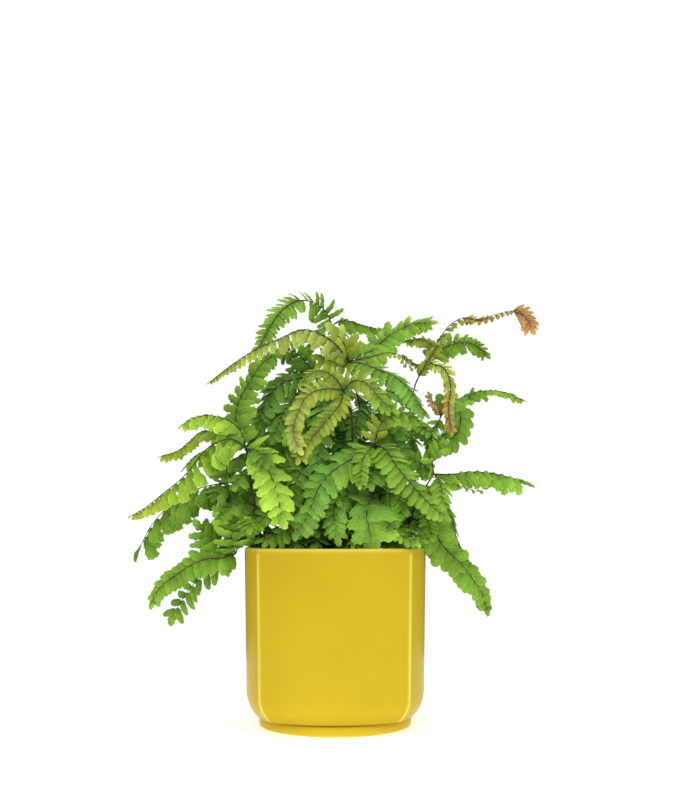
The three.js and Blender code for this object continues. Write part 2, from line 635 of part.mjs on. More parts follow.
// A leaflet alone, a little thicker than it is, to test what it would touch.
function leafletProbe(stations, index, hand, corners) {
  const near = ribEdge(stations[index], hand);
  const far = ribEdge(stations[index + 1], hand);
  const outward = [near, ...corners, far];
  const loop = hand < 0 ? outward : outward.toReversed();
  const order = loop.map((_, i) => i);
  const faces = leafletFaces(order[0], order.slice(1, -1), order.at(-1));
  const half = LEAF.halfThickness + LEAF.clearance / 2;
  return { box: boundsOf(loop, half), body: slabBody(loop, faces, half) };
}

function barProbe(start, end, side, normal, half) {
  const corner = (point, hand) => ({ point: point.clone().addScaledVector(side, hand * half), normal });
  const loop = [corner(start, -1), corner(end, -1), corner(end, 1), corner(start, 1)];
  return { box: boundsOf(loop, half), body: slabBody(loop, [[0, 1, 2], [0, 2, 3]], half) };
}

function stalkProbes(frond) {
  const points = stalkCurve(frond).getSpacedPoints(STALK.probes);
  const probes = [];
  for (let i = 0; i + 1 < points.length; i++) {
    const forward = points[i + 1].clone().sub(points[i]).normalize();
    const side = forward.clone().cross(new THREE.Vector3(0, 1, 0.2)).normalize();
    const normal = side.clone().cross(forward).normalize();
    const half = STALK.radius + LEAF.clearance / 2;
    probes.push({ owner: frond.name, ...barProbe(points[i], points[i + 1], side, normal, half) });
  }
  return probes;
}

function ribProbes(finger, stations) {
  const probes = [];
  for (let i = 0; i + 1 < stations.length; i++) {
    const { point, side, normal } = stations[i];
    const half = RIB.halfWidth + LEAF.clearance / 2;
    probes.push({ owner: finger, ...barProbe(point, stations[i + 1].point, side, normal, half) });
  }
  return probes;
}

// ---------------------------------------------------------------- growing the fronds

// What a leaflet tries, in order, until it clears everything that stands already:
// [more droop in degrees, share of its length].
const TRIES = [
  [0, 1], [22, 1], [-22, 1], [40, 0.9], [-40, 0.9], [0, 0.7], [25, 0.65], [-25, 0.65], [0, 0.45],
];

function clearLeaflet(finger, stations, index, hand, standing) {
  for (const [turn, stretch] of TRIES) {
    const corners = leafletCorners(finger, stations, index, hand, finger.droop + turn, stretch);
    const probe = leafletProbe(stations, index, hand, corners);
    const blocked = standing.some((other) => (
      other.owner !== finger && other.box.intersectsBox(probe.box)
      && !other.body.intersect(probe.body).isEmpty()));
    if (!blocked) {
      standing.push({ owner: finger, ...probe });
      return corners;
    }
  }
  return [];
}

// One thin arched blade: the rib and all its leaflets in a single outline.
function bladeBody(finger, stations, standing) {
  const last = stations.length - 1;
  const leaflets = { right: [], left: [] };
  for (let i = 1; i < last; i++) {
    leaflets.right[i] = clearLeaflet(finger, stations, i, -1, standing);
    leaflets.left[i] = clearLeaflet(finger, stations, i, 1, standing);
  }
  const loop = [];
  const faces = [];
  const rightEdge = [];
  const leftEdge = [];
  for (let i = 0; i <= last; i++) {
    rightEdge[i] = loop.push(ribEdge(stations[i], -1)) - 1;
    const corners = leaflets.right[i] ?? [];
    const numbers = corners.map((corner) => loop.push(corner) - 1);
    if (corners.length) faces.push(...leafletFaces(rightEdge[i], numbers, loop.length));
  }
  const end = stations[last];
  const tipReach = LEAF.tipReach * leafletLength(finger, 1);
  const tipCorner = (hand) => ({
    point: end.point.clone().addScaledVector(end.forward, tipReach)
      .addScaledVector(end.side, hand * (RIB.halfWidth + LEAF.tipSpread * tipReach)),
    normal: end.normal,
  });
  const tipRight = loop.push(tipCorner(-1)) - 1;
  const tipLeft = loop.push(tipCorner(1)) - 1;
  for (let i = last; i >= 0; i--) {
    const corners = leaflets.left[i] ?? [];
    const numbers = corners.toReversed().map((corner) => loop.push(corner) - 1);
    leftEdge[i] = loop.push(ribEdge(stations[i], 1)) - 1;
    if (corners.length) faces.push(...leafletFaces(leftEdge[i + 1], numbers, leftEdge[i]));
  }
  for (let i = 0; i < last; i++) {
    faces.push([rightEdge[i], rightEdge[i + 1], leftEdge[i + 1]]);
    faces.push([rightEdge[i], leftEdge[i + 1], leftEdge[i]]);
  }
  faces.push([rightEdge[last], tipRight, tipLeft], [rightEdge[last], tipLeft, leftEdge[last]]);
  return slabBody(loop, faces, LEAF.halfThickness);
}

function growFronds(fronds, pot, soil) {
  const around = [pot, soil].map((body) => {
    const { min, max } = body.boundingBox();
    return { owner: "pot", body, box: new THREE.Box3(vector(min), vector(max)) };
  });
  const bones = fronds.map((frond) => ({
    frond,
    fingers: fingersOf(frond).map((finger) => ({ finger, stations: ribStations(finger) })),
  }));
  const standing = [...around];
  for (const { frond, fingers } of bones) {
    standing.push(...stalkProbes(frond));
    for (const { finger, stations } of fingers) {
      standing.push(...ribProbes(finger, stations));
    }
  }
  return bones.map(({ frond, fingers }) => {
    let body = stalkBody(frond);
    for (const { finger, stations } of fingers) {
      body = body.add(bladeBody(finger, stations, standing));
    }
    return { name: frond.name, body };
  });
}

// ---------------------------------------------------------------- the scene graph

const glaze = new THREE.MeshStandardMaterial({ color: 0xe2c42e, roughness: 0.22, metalness: 0 });
const earth = new THREE.MeshStandardMaterial({ color: 0x2f2119, roughness: 0.95, metalness: 0 });
const leafGreens = [0x6fa02c, 0x7fae35, 0x5f8f2a, 0x8aa83c];

function namedMesh(name, geometry, material) {
  const mesh = new THREE.Mesh(geometry, material);
  mesh.name = name;
  return mesh;
}

function pottedFern() {
  const group = new THREE.Group();
  const pot = potGeometry();
  const soil = soilBody(FRONDS);
  group.add(namedMesh("pot", pot, glaze));
  group.add(namedMesh("soil", geometryFrom(soil), earth));
  growFronds(FRONDS, bodyFrom(pot), soil).forEach(({ name, body }, i) => {
    const green = leafGreens[i % leafGreens.length];
    const leaf = new THREE.MeshStandardMaterial({ color: green, roughness: 0.55, metalness: 0 });
    group.add(namedMesh(name, geometryFrom(body), leaf));
  });
  return group;
}

export default pottedFern();
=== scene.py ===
"""A maidenhair fern in a glazed yellow pot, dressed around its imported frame.

Metres, +Z up, the front looks along -Y, the origin is the middle of the pot's underside.
The fronds' growth table, and the routes made from it, are in millimetres.
"""

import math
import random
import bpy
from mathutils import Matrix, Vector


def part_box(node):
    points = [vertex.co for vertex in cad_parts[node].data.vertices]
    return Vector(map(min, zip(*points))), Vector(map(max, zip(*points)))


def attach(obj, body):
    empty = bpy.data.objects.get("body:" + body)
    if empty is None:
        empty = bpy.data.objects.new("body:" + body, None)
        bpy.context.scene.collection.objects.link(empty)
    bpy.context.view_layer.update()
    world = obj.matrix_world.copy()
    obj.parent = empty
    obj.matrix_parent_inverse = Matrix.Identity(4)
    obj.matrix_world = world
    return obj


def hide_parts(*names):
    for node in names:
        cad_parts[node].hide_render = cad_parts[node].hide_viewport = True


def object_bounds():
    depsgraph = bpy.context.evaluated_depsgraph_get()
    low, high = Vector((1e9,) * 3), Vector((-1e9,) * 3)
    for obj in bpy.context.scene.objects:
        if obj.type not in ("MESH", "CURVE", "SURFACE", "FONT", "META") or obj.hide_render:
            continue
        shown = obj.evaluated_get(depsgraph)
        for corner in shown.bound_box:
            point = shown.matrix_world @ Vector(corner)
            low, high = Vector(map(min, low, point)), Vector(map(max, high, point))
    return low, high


bl_info = {
    "name": "Potted Fern",
    "version": (1, 0, 0),
    "blender": (4, 5, 0),
    "location": "View3D > Sidebar > Fern",
    "description": "Builds a maidenhair fern in a glazed pot around its packed frame",
    "category": "Add Mesh",
}

from dataclasses import dataclass

import bmesh
import bpy
import numpy as np
from bpy.props import FloatProperty, FloatVectorProperty, IntProperty, PointerProperty
from mathutils import Matrix, Vector, noise

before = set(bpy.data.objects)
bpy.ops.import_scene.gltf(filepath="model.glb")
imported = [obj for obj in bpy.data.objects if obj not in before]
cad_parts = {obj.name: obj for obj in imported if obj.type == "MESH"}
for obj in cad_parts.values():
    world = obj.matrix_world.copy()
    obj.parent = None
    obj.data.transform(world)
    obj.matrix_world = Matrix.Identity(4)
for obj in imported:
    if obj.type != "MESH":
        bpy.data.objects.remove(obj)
CAD_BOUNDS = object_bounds()

MM = 0.001
BODY = "root"
SMOOTH_UNDER = 50  # degrees between faces that are shaded as one surface


# ------------------------------------------------------------------ the fern's growth table

@dataclass
class Finger:
    """One arm of a frond. It springs from the stalk's end, unless it has a start."""
    route: list  # points that its rib goes through
    length: float  # its longest leaflet
    taper: float  # the last leaflet's length, as a share of the longest
    droop: float  # degrees that leaflets hang from the blade
    face: tuple  # the way the blade looks
    face_end: tuple = None  # the way it looks at the tip, if it turns
    start: tuple = None  # where it springs from
    leaf: str = "oblong"  # outline of the leaflets; oblong ones are mixed with others
    tone: str = "fresh"  # leaf colour
    tip: str = None  # leaf colour at the tip, if it changes
    pitch: float = 1.0  # room between leaflets, against the usual
    width: float = 1.0  # breadth of leaflets, against the usual
    lean: float = 0.4  # how far leaflets lean towards the tip
    left: float = 1.0  # length of the left row's leaflets, seen with the tip up
    right: float = 1.0  # length of the right row's leaflets
    unrest: float = 1.0  # how much leaflets differ
    roll: float = 1.0  # how far a leaflet's edge lifts
    tipped: bool = True  # whether a leaflet ends it

    def __post_init__(self):
        self.face, self.face_end = Vector(self.face), Vector(self.face_end or self.face)
        self.tip = self.tip or self.tone


@dataclass
class Fan:
    """Fingers that spread from the fork round an azimuth, and arch from rise to fall."""
    azimuth: float
    spread: float
    count: int
    reach: float
    length: float
    rise: float
    fall: float
    tone: str


@dataclass
class Sprays:
    """Short fingers that wind up the stalk, from a low share of its length to a high one."""
    low: float
    high: float
    count: int
    reach: float
    length: float
    tones: tuple
    leaf: str = "oblong"
    unrest: float = 1.0


class Frond:
    """A stalk, from its root in the soil to its fork, with its fingers."""

    def __init__(self, name, root, stalk, *fingers, slot="leaf", fan=None, sprays=None):
        self.name, self.root, self.stalk, self.fingers = name, root, stalk, list(fingers)
        self.slot, self.fan, self.sprays = slot, fan, sprays


# What the young olive fingers share.
YOUNG = dict(leaf="lobed", tone="olive", unrest=0.5, roll=0.5)
FRONDS = [
    Frond("frond_crown", (14, 2), [(22, -6, 200), (23, -11, 248), (18, -14, 276), (11, -18, 302)],
          Finger([(2, -30, 313), (-10, -42, 320), (-25, -52, 323), (-42, -60, 315), (-60, -66, 306),
                  (-78, -70, 294), (-97, -72, 279)], 16, 0.2, 32, (0, -0.85, 0.5), (0, -0.3, 0.95),
                 leaf="narrow", tone="pale_olive", tip="olive", width=0.8, pitch=1.15, right=0.6),
          Finger([(10, -24, 308), (7, -27, 316), (1, -30, 323)], 17, 0.8, 8, (0, -0.97, 0.2),
                 leaf="lobed", tone="yellow", tip="pale_olive", lean=0.1, width=1.1, unrest=0.7,
                 roll=0.5),
          Finger([(7, -22, 297), (-2, -26, 301), (-11, -30, 303)], 14, 0.7, 8, (0, -0.97, 0.2),
                 leaf="lobed", tone="yellow", tip="olive", lean=0.1, unrest=0.7, roll=0.5),
          Finger([(23, -34, 298), (36, -48, 291), (49, -58, 284), (59, -66, 273), (71, -70, 255)],
                 18, 0.35, 12, (0.2, -0.8, 0.6), (0.4, -0.75, 0.5), leaf="lobed", tone="clear",
                 left=0.75, right=1.15, unrest=0.6, roll=0.5),
          Finger([(21, -14, 308), (31, -6, 313), (38, 0, 320), (47, 4, 328), (59, 8, 335), (70, 8, 338),
                  (79, 6, 338)], 17, 0.5, 15, (0.1, -0.85, 0.5)),
          Finger([(29, -26, 305), (44, -28, 308), (55, -26, 305), (61, -26, 297)],
                 6, 0.8, 30, (0, -0.6, 0.8), leaf="wedge", tone="olive", tip="pale_olive", pitch=1.6,
                 width=0.65)),
    Frond("frond_top", (2, 18), [(3, 21, 200), (2, 24, 260), (-1, 30, 318), (-3, 32, 340)],
          Finger([(-9, 24, 351), (-17, 16, 356), (-25, 8, 357)], 15, 0.9, 12, (-0.1, -0.95, 0.3),
                 leaf="narrow", pitch=0.85, width=0.8, lean=-0.1, roll=0.5, unrest=0.8, tipped=False),
          Finger([(-31, 2, 356), (-42, -8, 348), (-50, -16, 337), (-57, -20, 324), (-64, -22, 310)],
                 13, 0.4, 8, (-0.1, -0.95, 0.3), start=(-25, 8, 357), pitch=0.85, lean=0, unrest=0.7,
                 roll=0.5),
          Finger([(7, 36, 345), (18, 42, 343), (29, 46, 341), (37, 48, 339)],
                 12, 0.7, 25, (0, -0.85, 0.5), tone="mid", pitch=0.8, left=0.5),
          fan=Fan(100, 60, 2, 70, 12, 5, -70, "mid")),
    Frond("frond_left", (-46, -22),
          [(-54, -30, 151), (-59, -38, 167), (-65, -46, 188), (-67, -50, 205), (-70, -56, 228)],
          Finger([(-61, -63, 226), (-54, -69, 218), (-50, -75, 208), (-46, -79, 199), (-43, -82, 187),
                  (-40, -83, 174)], 19, 0.6, 10, (0.1, -0.85, 0.5), tone="bright", pitch=1.1,
                 unrest=0.8, lean=0.22, roll=0.7),
          Finger([(-80, -60, 235), (-91, -64, 233), (-102, -68, 225), (-110, -70, 214),
                  (-120, -70, 203), (-133, -68, 193), (-147, -66, 182), (-159, -64, 175)],
                 24, 0.16, 42, (-0.2, -0.45, 0.85), leaf="wedge", tip="yellow", width=1.1, right=0.75),
          Finger([(-75, -54, 243), (-85, -56, 251), (-99, -58, 254), (-112, -60, 252),
                  (-119, -60, 247)], 17, 0.4, 42, (-0.1, -0.4, 0.9), tone="bright", right=0.6),
          Finger([(-79, -46, 248), (-79, -42, 259), (-77, -40, 268), (-72, -40, 277), (-65, -41, 288),
                  (-57, -42, 299), (-49, -44, 303)], 17, 0.5, 10, (-0.3, -0.9, 0.3), tone="mid",
                 tip="fresh", pitch=0.9, lean=0.15, unrest=0.7, roll=0.5),
          Finger([(-82, -44, 239), (-96, -36, 243), (-109, -30, 243), (-118, -28, 236),
                  (-128, -28, 228), (-140, -28, 224)], 15, 0.4, 40, (-0.1, -0.3, 0.95), tip="yellow"),
          sprays=Sprays(0.2, 1.0, 11, 32, 15, ("mid", "deep", "fresh"))),
    Frond("frond_left_back", (-38, 8), [(-62, 6, 156), (-72, 8, 176), (-81, 8, 192), (-87, 6, 203)],
          Finger([(-102, 0, 201), (-116, -4, 197), (-130, -6, 190), (-144, -6, 178), (-155, -4, 165),
                  (-163, -2, 150)], 22, 0.75, 50, (-0.2, -0.4, 0.9), leaf="wedge", tone="mid",
                 pitch=1.15, width=1.05, right=0.75),
          Finger([(-97, 14, 221), (-109, 20, 230), (-120, 24, 227), (-129, 26, 218)],
                 15, 0.5, 30, (-0.3, -0.4, 0.85)),
          Finger([(-90, -2, 188), (-94, -8, 174), (-97, -10, 162)], 18, 0.6, 15, (-0.3, -0.9, 0.3),
                 tone="mid"),
          Finger([(-82, -8, 207), (-73, -14, 206), (-65, -18, 198), (-60, -20, 188)],
                 17, 0.7, 15, (0, -0.9, 0.4), tone="deep"),
          sprays=Sprays(0.15, 0.95, 8, 30, 15, ("mid", "deep"))),
    Frond("frond_left_low", (-52, -8),
          [(-62, -11, 156), (-69, -13, 160), (-77, -14.5, 157), (-82, -15, 144)],
          Finger([(-94, -20, 140), (-107, -24, 139), (-118, -28, 134), (-129, -30, 127),
                  (-139, -32, 119), (-145, -32, 112), (-148, -32, 105)],
                 16.5, 0.45, 10, (-0.1, -0.95, 0.3), leaf="oval", tone="mid", tip="fresh", width=1.15,
                 right=0.8, unrest=0.6, roll=0.5),
          Finger([(-92, -8, 136), (-101, -4, 131), (-111, 2, 124), (-121, 8, 116), (-129, 16, 106),
                  (-136, 20, 96), (-139, 22, 90)], 15, 0.85, 8, (-0.1, -0.95, 0.3), leaf="oval",
                 tone="mid", pitch=1.5, width=0.62, lean=0.7, roll=0.3),
          Finger([(-84, -24, 151), (-85, -30, 162), (-87, -33, 172), (-90, -34, 182)],
                 19, 0.6, 6, (0, -1, 0.1), lean=0.25, unrest=0.7),
          Finger([(-90, -14, 148), (-98, -16, 151), (-106, -18, 157), (-111, -18, 164)],
                 16, 0.7, 10, (0, -0.95, 0.3), tone="mid", lean=0.3),
          Finger([(-76, -22, 151), (-73, -28, 160), (-73, -30, 169)], 15, 0.7, 6, (0, -0.97, 0.2),
                 start=(-77, -14.5, 157), tone="mid")),
    Frond("frond_right_low", (50, -8), [(64, -14, 163), (72, -16, 181), (82, -18, 188)],
          Finger([(81, -26, 171), (86, -30, 153), (93, -32, 145), (103, -34, 135), (112, -36, 123),
                  (120, -36, 110), (123, -34, 99)], 20, 0.35, 8, (0.1, -0.95, 0.3), leaf="oval",
                 tone="mid", width=1.35, left=0.8, unrest=0.6, roll=0.4),
          Finger([(91, -14, 185), (97, -12, 173), (100, -12, 159), (106, -12, 145), (115, -14, 132)],
                 16, 0.5, 20, (0.75, -0.5, 0.4), tone="mid"),
          Finger([(77, -34, 181), (75, -44, 171), (77, -50, 160)], 12, 0.6, 12, (0.2, -0.9, 0.4),
                 tone="mid"),
          sprays=Sprays(0.2, 0.9, 5, 24, 12, ("mid", "deep"))),
    Frond("frond_right_mid", (40, -14),
          [(55, -20, 159), (65, -22, 180), (74, -24, 198), (81, -26, 209)],
          Finger([(96, -18, 209), (110, -12, 211), (125, -8, 211), (138, -6, 209), (149, -4, 206),
                  (155, -3, 204)], 17, 0.9, 42, (0.05, -0.45, 0.9), tone="mid", tip="fresh", left=0.35,
                 unrest=0.8),
          Finger([(94, -24, 203), (106, -22, 198), (118, -20, 195), (124, -20, 197)],
                 4, 0.8, 20, (0, -0.5, 0.85), leaf="curled", tone="mid", pitch=2.6, width=0.4),
          Finger([(84, -40, 204), (85, -48, 197), (86, -52, 189), (87, -54, 181)],
                 13, 0.5, 12, (0.1, -0.85, 0.5)),
          Finger([(79, -38, 218), (82, -42, 226), (87, -44, 231)], 13, 0.6, 12, (0.2, -0.8, 0.6)),
          Finger([(75, -22, 214), (68, -22, 219), (61, -20, 223)], 12, 0.8, 12, (0, -0.9, 0.4),
                 leaf="narrow", tone="mid", unrest=1.5),
          sprays=Sprays(0.05, 0.8, 7, 26, 13, ("deep", "mid"))),
    Frond("frond_right_up", (40, 6),
          [(63, 4, 188), (70, 2, 213), (76, 0, 229), (82, -2, 244), (88, -4, 257)],
          Finger([(95, -6, 270), (102, -4, 268), (105, -2, 256), (102, -2, 244), (93, -4, 236),
                  (83, -6, 230)], 14, 0.65, 8, (0.1, -0.97, 0.2), leaf="oval", tone="deep", width=1.3,
                 unrest=0.6, roll=0.4),
          Finger([(96, 2, 269), (108, 6, 274), (121, 8, 280), (134, 10, 281), (146, 10, 279),
                  (157, 10, 274)], 12, 0.5, 20, (0.1, -0.4, 0.9), tone="mid", tip="fresh"),
          Finger([(81, -14, 245), (73, -18, 246), (67, -20, 250)], 9, 0.6, 15, (0, -0.8, 0.6)),
          Finger([(86, -10, 265), (80, -14, 269), (78, -16, 274)], 6, 0.7, 15, (0, -0.8, 0.6),
                 leaf="curled", tone="bronze")),
    Frond("frond_right_top", (28, 12),
          [(53, 14, 205), (59, 14, 239), (64, 12, 269), (68, 10, 287), (78, 8, 306)],
          Finger([(85, 6, 318), (89, 4, 326), (94, 2, 333), (100, 0, 338), (108, -2, 341),
                  (119, -4, 339), (131, -6, 342), (142, -8, 345), (151, -8, 346)],
                 8, 0.45, 60, (0, -0.3, 0.95), leaf="wedge", tone="olive", tip="bronze", pitch=1.7,
                 width=0.6, right=0.7),
          Finger([(155, -8, 343), (160, -8, 338), (163, -8, 332)], 10, 0.8, 5, (0, -1, 0.1),
                 start=(147, -8, 345), leaf="lobed", tone="rust", pitch=0.5, width=1.5, roll=0.4),
          Finger([(73, 7, 297), (79, 5, 307), (86, 3, 318)], 6, 0.7, 12, (0, -0.9, 0.3),
                 start=(69, 8, 290), leaf="narrow", tone="olive", pitch=0.8, width=0.9),
          Finger([(114, -4, 339), (121, -5, 338), (127, -6, 340)], 6, 0.6, 20, (0, -0.9, 0.3),
                 start=(107, -2, 341), leaf="narrow", tone="bronze", tip="rust", pitch=0.7, right=0.4),
          Finger([(87, 14, 315), (96, 18, 320), (105, 20, 323), (115, 22, 323), (123, 24, 320),
                  (129, 24, 314)], 14, 0.45, 12, (0.1, -0.95, 0.3), leaf="narrow", tone="mid",
                 pitch=0.75),
          Finger([(84, -2, 301), (89, -8, 299), (94, -12, 291), (96, -12, 279), (94, -12, 267),
                  (96, -12, 246)], 8, 0.7, 12, (0, -0.9, 0.3), leaf="narrow", tone="yellow",
                 tip="bronze", pitch=0.9, width=0.8, lean=0.7, roll=0.5),
          Finger([(83, 10, 317), (78, 12, 323), (69, 14, 325), (63, 14, 324)],
                 9, 0.7, 15, (0, -0.8, 0.6), tone="olive"),
          Finger([(70, 16, 303), (64, 20, 307), (59, 24, 312)], 4, 0.8, 15, (0, -0.8, 0.6),
                 leaf="curled", tone="olive")),
    Frond("frond_olive", (2, -16), [(12, -24, 204), (14, -40, 244), (12, -50, 263), (7, -58, 274)],
          Finger([(-3, -68, 274), (-14, -74, 272), (-22, -80, 266), (-26, -84, 257), (-30, -86, 247),
                  (-31, -87, 237), (-27, -86, 227)], 10.5, 0.7, 10, (-0.1, -0.95, 0.3), **YOUNG,
                 tip="pale_olive"),
          Finger([(5, -68, 263), (-2, -76, 253), (-11, -80, 242), (-19, -82, 232), (-26, -82, 220)],
                 10.5, 0.7, 10, (0, -0.95, 0.3), **YOUNG),
          Finger([(15, -62, 281), (24, -68, 279), (31, -72, 272), (37, -74, 264), (45, -74, 258)],
                 13, 0.6, 12, (0.1, -0.85, 0.5), **YOUNG, tip="fresh"),
          Finger([(0, -52, 285), (-10, -54, 290), (-19, -58, 287), (-25, -60, 280)],
                 10, 0.6, 12, (-0.2, -0.6, 0.75), **YOUNG),
          slot="leaf_olive"),
    Frond("frond_centre", (24, -20), [(36, -34, 179), (36, -40, 200), (35, -46, 218), (32, -50, 231)],
          Finger([(34, -56, 241), (38, -60, 249), (45, -64, 253), (53, -66, 255), (60, -67, 250)],
                 12, 0.7, 12, (0.2, -0.85, 0.5), tone="olive", tip="fresh"),
          Finger([(40, -62, 227), (48, -72, 214), (56, -80, 203), (64, -84, 194), (72, -86, 185),
                  (84, -86, 175)], 16, 0.5, 10, (0.15, -0.85, 0.5), leaf="round", width=1.05,
                 unrest=0.8, roll=0.6),
          Finger([(27, -60, 226), (22, -66, 218), (21, -70, 210), (20, -71, 200)],
                 11, 0.5, 12, (0, -0.9, 0.4)),
          Finger([(18, -58, 222), (5, -66, 214), (-4, -70, 207), (-11, -73, 198), (-16, -74, 187),
                  (-20, -74, 176), (-28, -69, 163)], 17, 0.6, 10, (-0.1, -0.9, 0.4), tone="clear",
                 lean=0.3, unrest=0.8, roll=0.7),
          sprays=Sprays(0.05, 0.8, 8, 34, 14, ("deep", "dusky", "mid"))),
    Frond("frond_front_low", (20, -40),
          [(30, -42, 155), (32, -42, 171), (34, -42, 183), (32, -44, 189)],
          Finger([(27, -54, 185), (25.5, -60, 179), (26, -64, 170), (28, -66, 161), (29, -66, 155)],
                 25, 0.9, 5, (-0.05, -0.98, 0.2), leaf="lobed", tone="clear", tip="fresh", pitch=0.9,
                 width=1.3, lean=-0.2, right=0.65, unrest=0.3, roll=0.12),
          Finger([(18, -44, 191), (6, -50, 189), (0, -56, 181), (0, -62, 170), (2, -64, 159)],
                 16, 0.6, 8, (-0.1, -0.95, 0.3), tone="clear", unrest=0.7, roll=0.6),
          Finger([(39, -56, 174), (47, -62, 163), (57, -64, 157), (67, -64, 155)],
                 9, 0.9, 12, (0.1, -0.6, 0.8)),
          Finger([(42, -48, 177), (50, -52, 167), (60, -54, 164), (73, -54, 160)],
                 4, 0.8, 12, (0, -0.3, 0.95), leaf="curled", tone="mid"),
          sprays=Sprays(0.05, 0.7, 11, 34, 13, ("deep", "mid"))),
    Frond("frond_front_left", (-20, -38), [(-28, -44, 151), (-25, -46, 163), (-24, -48, 171)],
          Finger([(-31, -51, 167), (-40, -55, 162), (-48, -56, 158), (-56, -55, 156)],
                 14, 0.6, 12, (-0.1, -0.7, 0.7), tone="mid"),
          Finger([(-34, -50, 179), (-43, -54, 181), (-53, -56, 176), (-61, -56, 168)],
                 13, 0.6, 12, (-0.1, -0.85, 0.5), tone="mid"),
          sprays=Sprays(0.1, 0.9, 6, 21, 11, ("deep", "mid"))),
    Frond("frond_inner", (-12, 0), [(-11, -3, 213), (-13, -2, 247), (-15, 0, 276), (-16, 2, 291)],
          Finger([(-25, -2, 304), (-33, -6, 311), (-42, -12, 312), (-51, -18, 307), (-59, -24, 299),
                  (-64, -28, 291), (-68, -30, 282)], 12, 0.6, 10, (-0.2, -0.9, 0.4), leaf="round",
                 tone="deep", unrest=1.5),
          Finger([(-26, 8, 297), (-38, 8, 296), (-50, 4, 287), (-58, -2, 273), (-62, -6, 258)],
                 12, 0.7, 15, (-0.2, -0.8, 0.6), leaf="round", tone="dusky", unrest=2),
          Finger([(-27, -8, 281), (-36, -16, 270), (-44, -22, 256), (-50, -26, 240)],
                 12, 0.7, 15, (0, -0.8, 0.6), leaf="round", tone="dusky", unrest=2),
          Finger([(-12, -22, 272), (-10, -36, 252), (-13, -44, 231), (-13, -47, 214)],
                 16, 0.7, 12, (0, -0.9, 0.4), tone="dusky"),
          Finger([(-26, -6, 260), (-36, -8, 246), (-44, -10, 228), (-49, -10, 206)],
                 16, 0.8, 15, (0, -0.9, 0.4), start=(-14, -1, 262), tone="deep"),
          Finger([(-30, -4, 290), (-45, -12, 284), (-57, -18, 269), (-64, -20, 250)],
                 16, 0.7, 15, (-0.1, -0.85, 0.5), tone="dusky", leaf="round", unrest=1.5),
          Finger([(-30, 6, 268), (-44, 4, 260), (-56, 2, 243), (-62, 0, 222)],
                 17, 0.8, 15, (-0.1, -0.9, 0.4), start=(-15, 0, 276), tone="deep"),
          Finger([(-6, 12, 297), (4, 20, 295), (12, 24, 285)], 12, 0.6, 15, (0, -0.4, 0.9),
                 tone="deep"),
          slot="leaf_deep",
          sprays=Sprays(0.05, 0.95, 24, 42, 13, ("dusky", "deep", "dusky"), leaf="round", unrest=1.6)),
    Frond("frond_inner_right", (10, 18), [(9, 14, 205), (14, 8, 239), (21, 2, 260), (26, -4, 270)],
          Finger([(35, -14, 271), (44, -22, 265), (51, -28, 255), (54, -32, 243)],
                 14, 0.6, 15, (0.2, -0.8, 0.6), tone="deep"),
          Finger([(21, -18, 262), (17, -26, 250), (16, -30, 238)], 14, 0.6, 12, (0, -0.85, 0.5),
                 tone="dusky"),
          Finger([(38, 6, 279), (50, 14, 280), (61, 18, 275), (69, 18, 265)],
                 13, 0.6, 15, (0.3, -0.6, 0.7), tone="deep"),
          Finger([(25, 2, 233), (35, -2, 220), (40, -4, 203)], 18, 0.7, 15, (0.1, -0.9, 0.4),
                 start=(14, 8, 239), tone="deep"),
          Finger([(20, 10, 201), (30, 6, 190), (35, 2, 175)], 18, 0.7, 15, (0.1, -0.9, 0.4),
                 start=(9, 14, 205), tone="dusky"),
          Finger([(38, -8, 252), (48, -12, 240), (55, -14, 226), (57, -14, 212)],
                 15, 0.7, 12, (0.1, -0.9, 0.4), start=(21, 2, 260), tone="deep"),
          Finger([(28, 14, 193), (43, 10, 194), (56, 4, 187), (66, 0, 175)],
                 16, 0.7, 12, (0.1, -0.9, 0.4), start=(9, 14, 196), tone="deep"),
          Finger([(26, 12, 170), (40, 8, 171), (52, 2, 166), (61, -4, 158)],
                 15, 0.7, 12, (0.1, -0.9, 0.4), start=(10, 16, 165), tone="dusky"),
          slot="leaf_deep",
          sprays=Sprays(0.05, 0.95, 20, 42, 16, ("dusky", "deep", "mid"))),
    Frond("frond_inner_low", (-14, -16), [(-14, -24, 171), (-19, -32, 196), (-22, -38, 216)],
          Finger([(-27, -48, 211), (-31, -54, 198), (-34, -56, 185)], 13, 0.6, 12, (-0.2, -0.85, 0.4),
                 tone="deep"),
          Finger([(-12, -46, 207), (-7, -48, 194), (-5, -48, 181)], 13, 0.6, 12, (0.1, -0.9, 0.3),
                 tone="deep"),
          Finger([(-25, -42, 227), (-30, -42, 235), (-36, -40, 238)], 14, 0.6, 12, (-0.1, -0.8, 0.6),
                 tone="mid"),
          Finger([(-19, -38, 186), (-19, -42, 175), (-19, -43, 163)], 16, 0.7, 12, (0, -0.95, 0.3),
                 start=(-19, -32, 196), tone="dusky"),
          slot="leaf_deep",
          sprays=Sprays(0.05, 1.0, 14, 38, 15, ("deep", "mid", "dusky"))),
    Frond("frond_back_left", (-22, 32), [(-34, 38, 200), (-42, 42, 240), (-47, 44, 262)],
          fan=Fan(142, 95, 4, 80, 15, 25, -75, "fresh")),
    Frond("frond_back", (0, 38), [(-2, 46, 215), (-4, 51, 260), (-5, 54, 284)],
          fan=Fan(90, 100, 4, 78, 14, 25, -75, "mid")),
    Frond("frond_back_right", (24, 32), [(36, 38, 200), (46, 40, 236), (51, 42, 258)],
          fan=Fan(50, 95, 4, 66, 16, 20, -75, "fresh")),
    Frond("frond_back_low_left", (-38, 26), [(-52, 40, 164), (-58, 46, 186), (-61, 50, 202)],
          fan=Fan(140, 90, 3, 66, 16, 15, -80, "mid")),
    Frond("frond_back_low", (-8, 48), [(-8, 58, 164), (-8, 64, 188), (-8, 68, 204)],
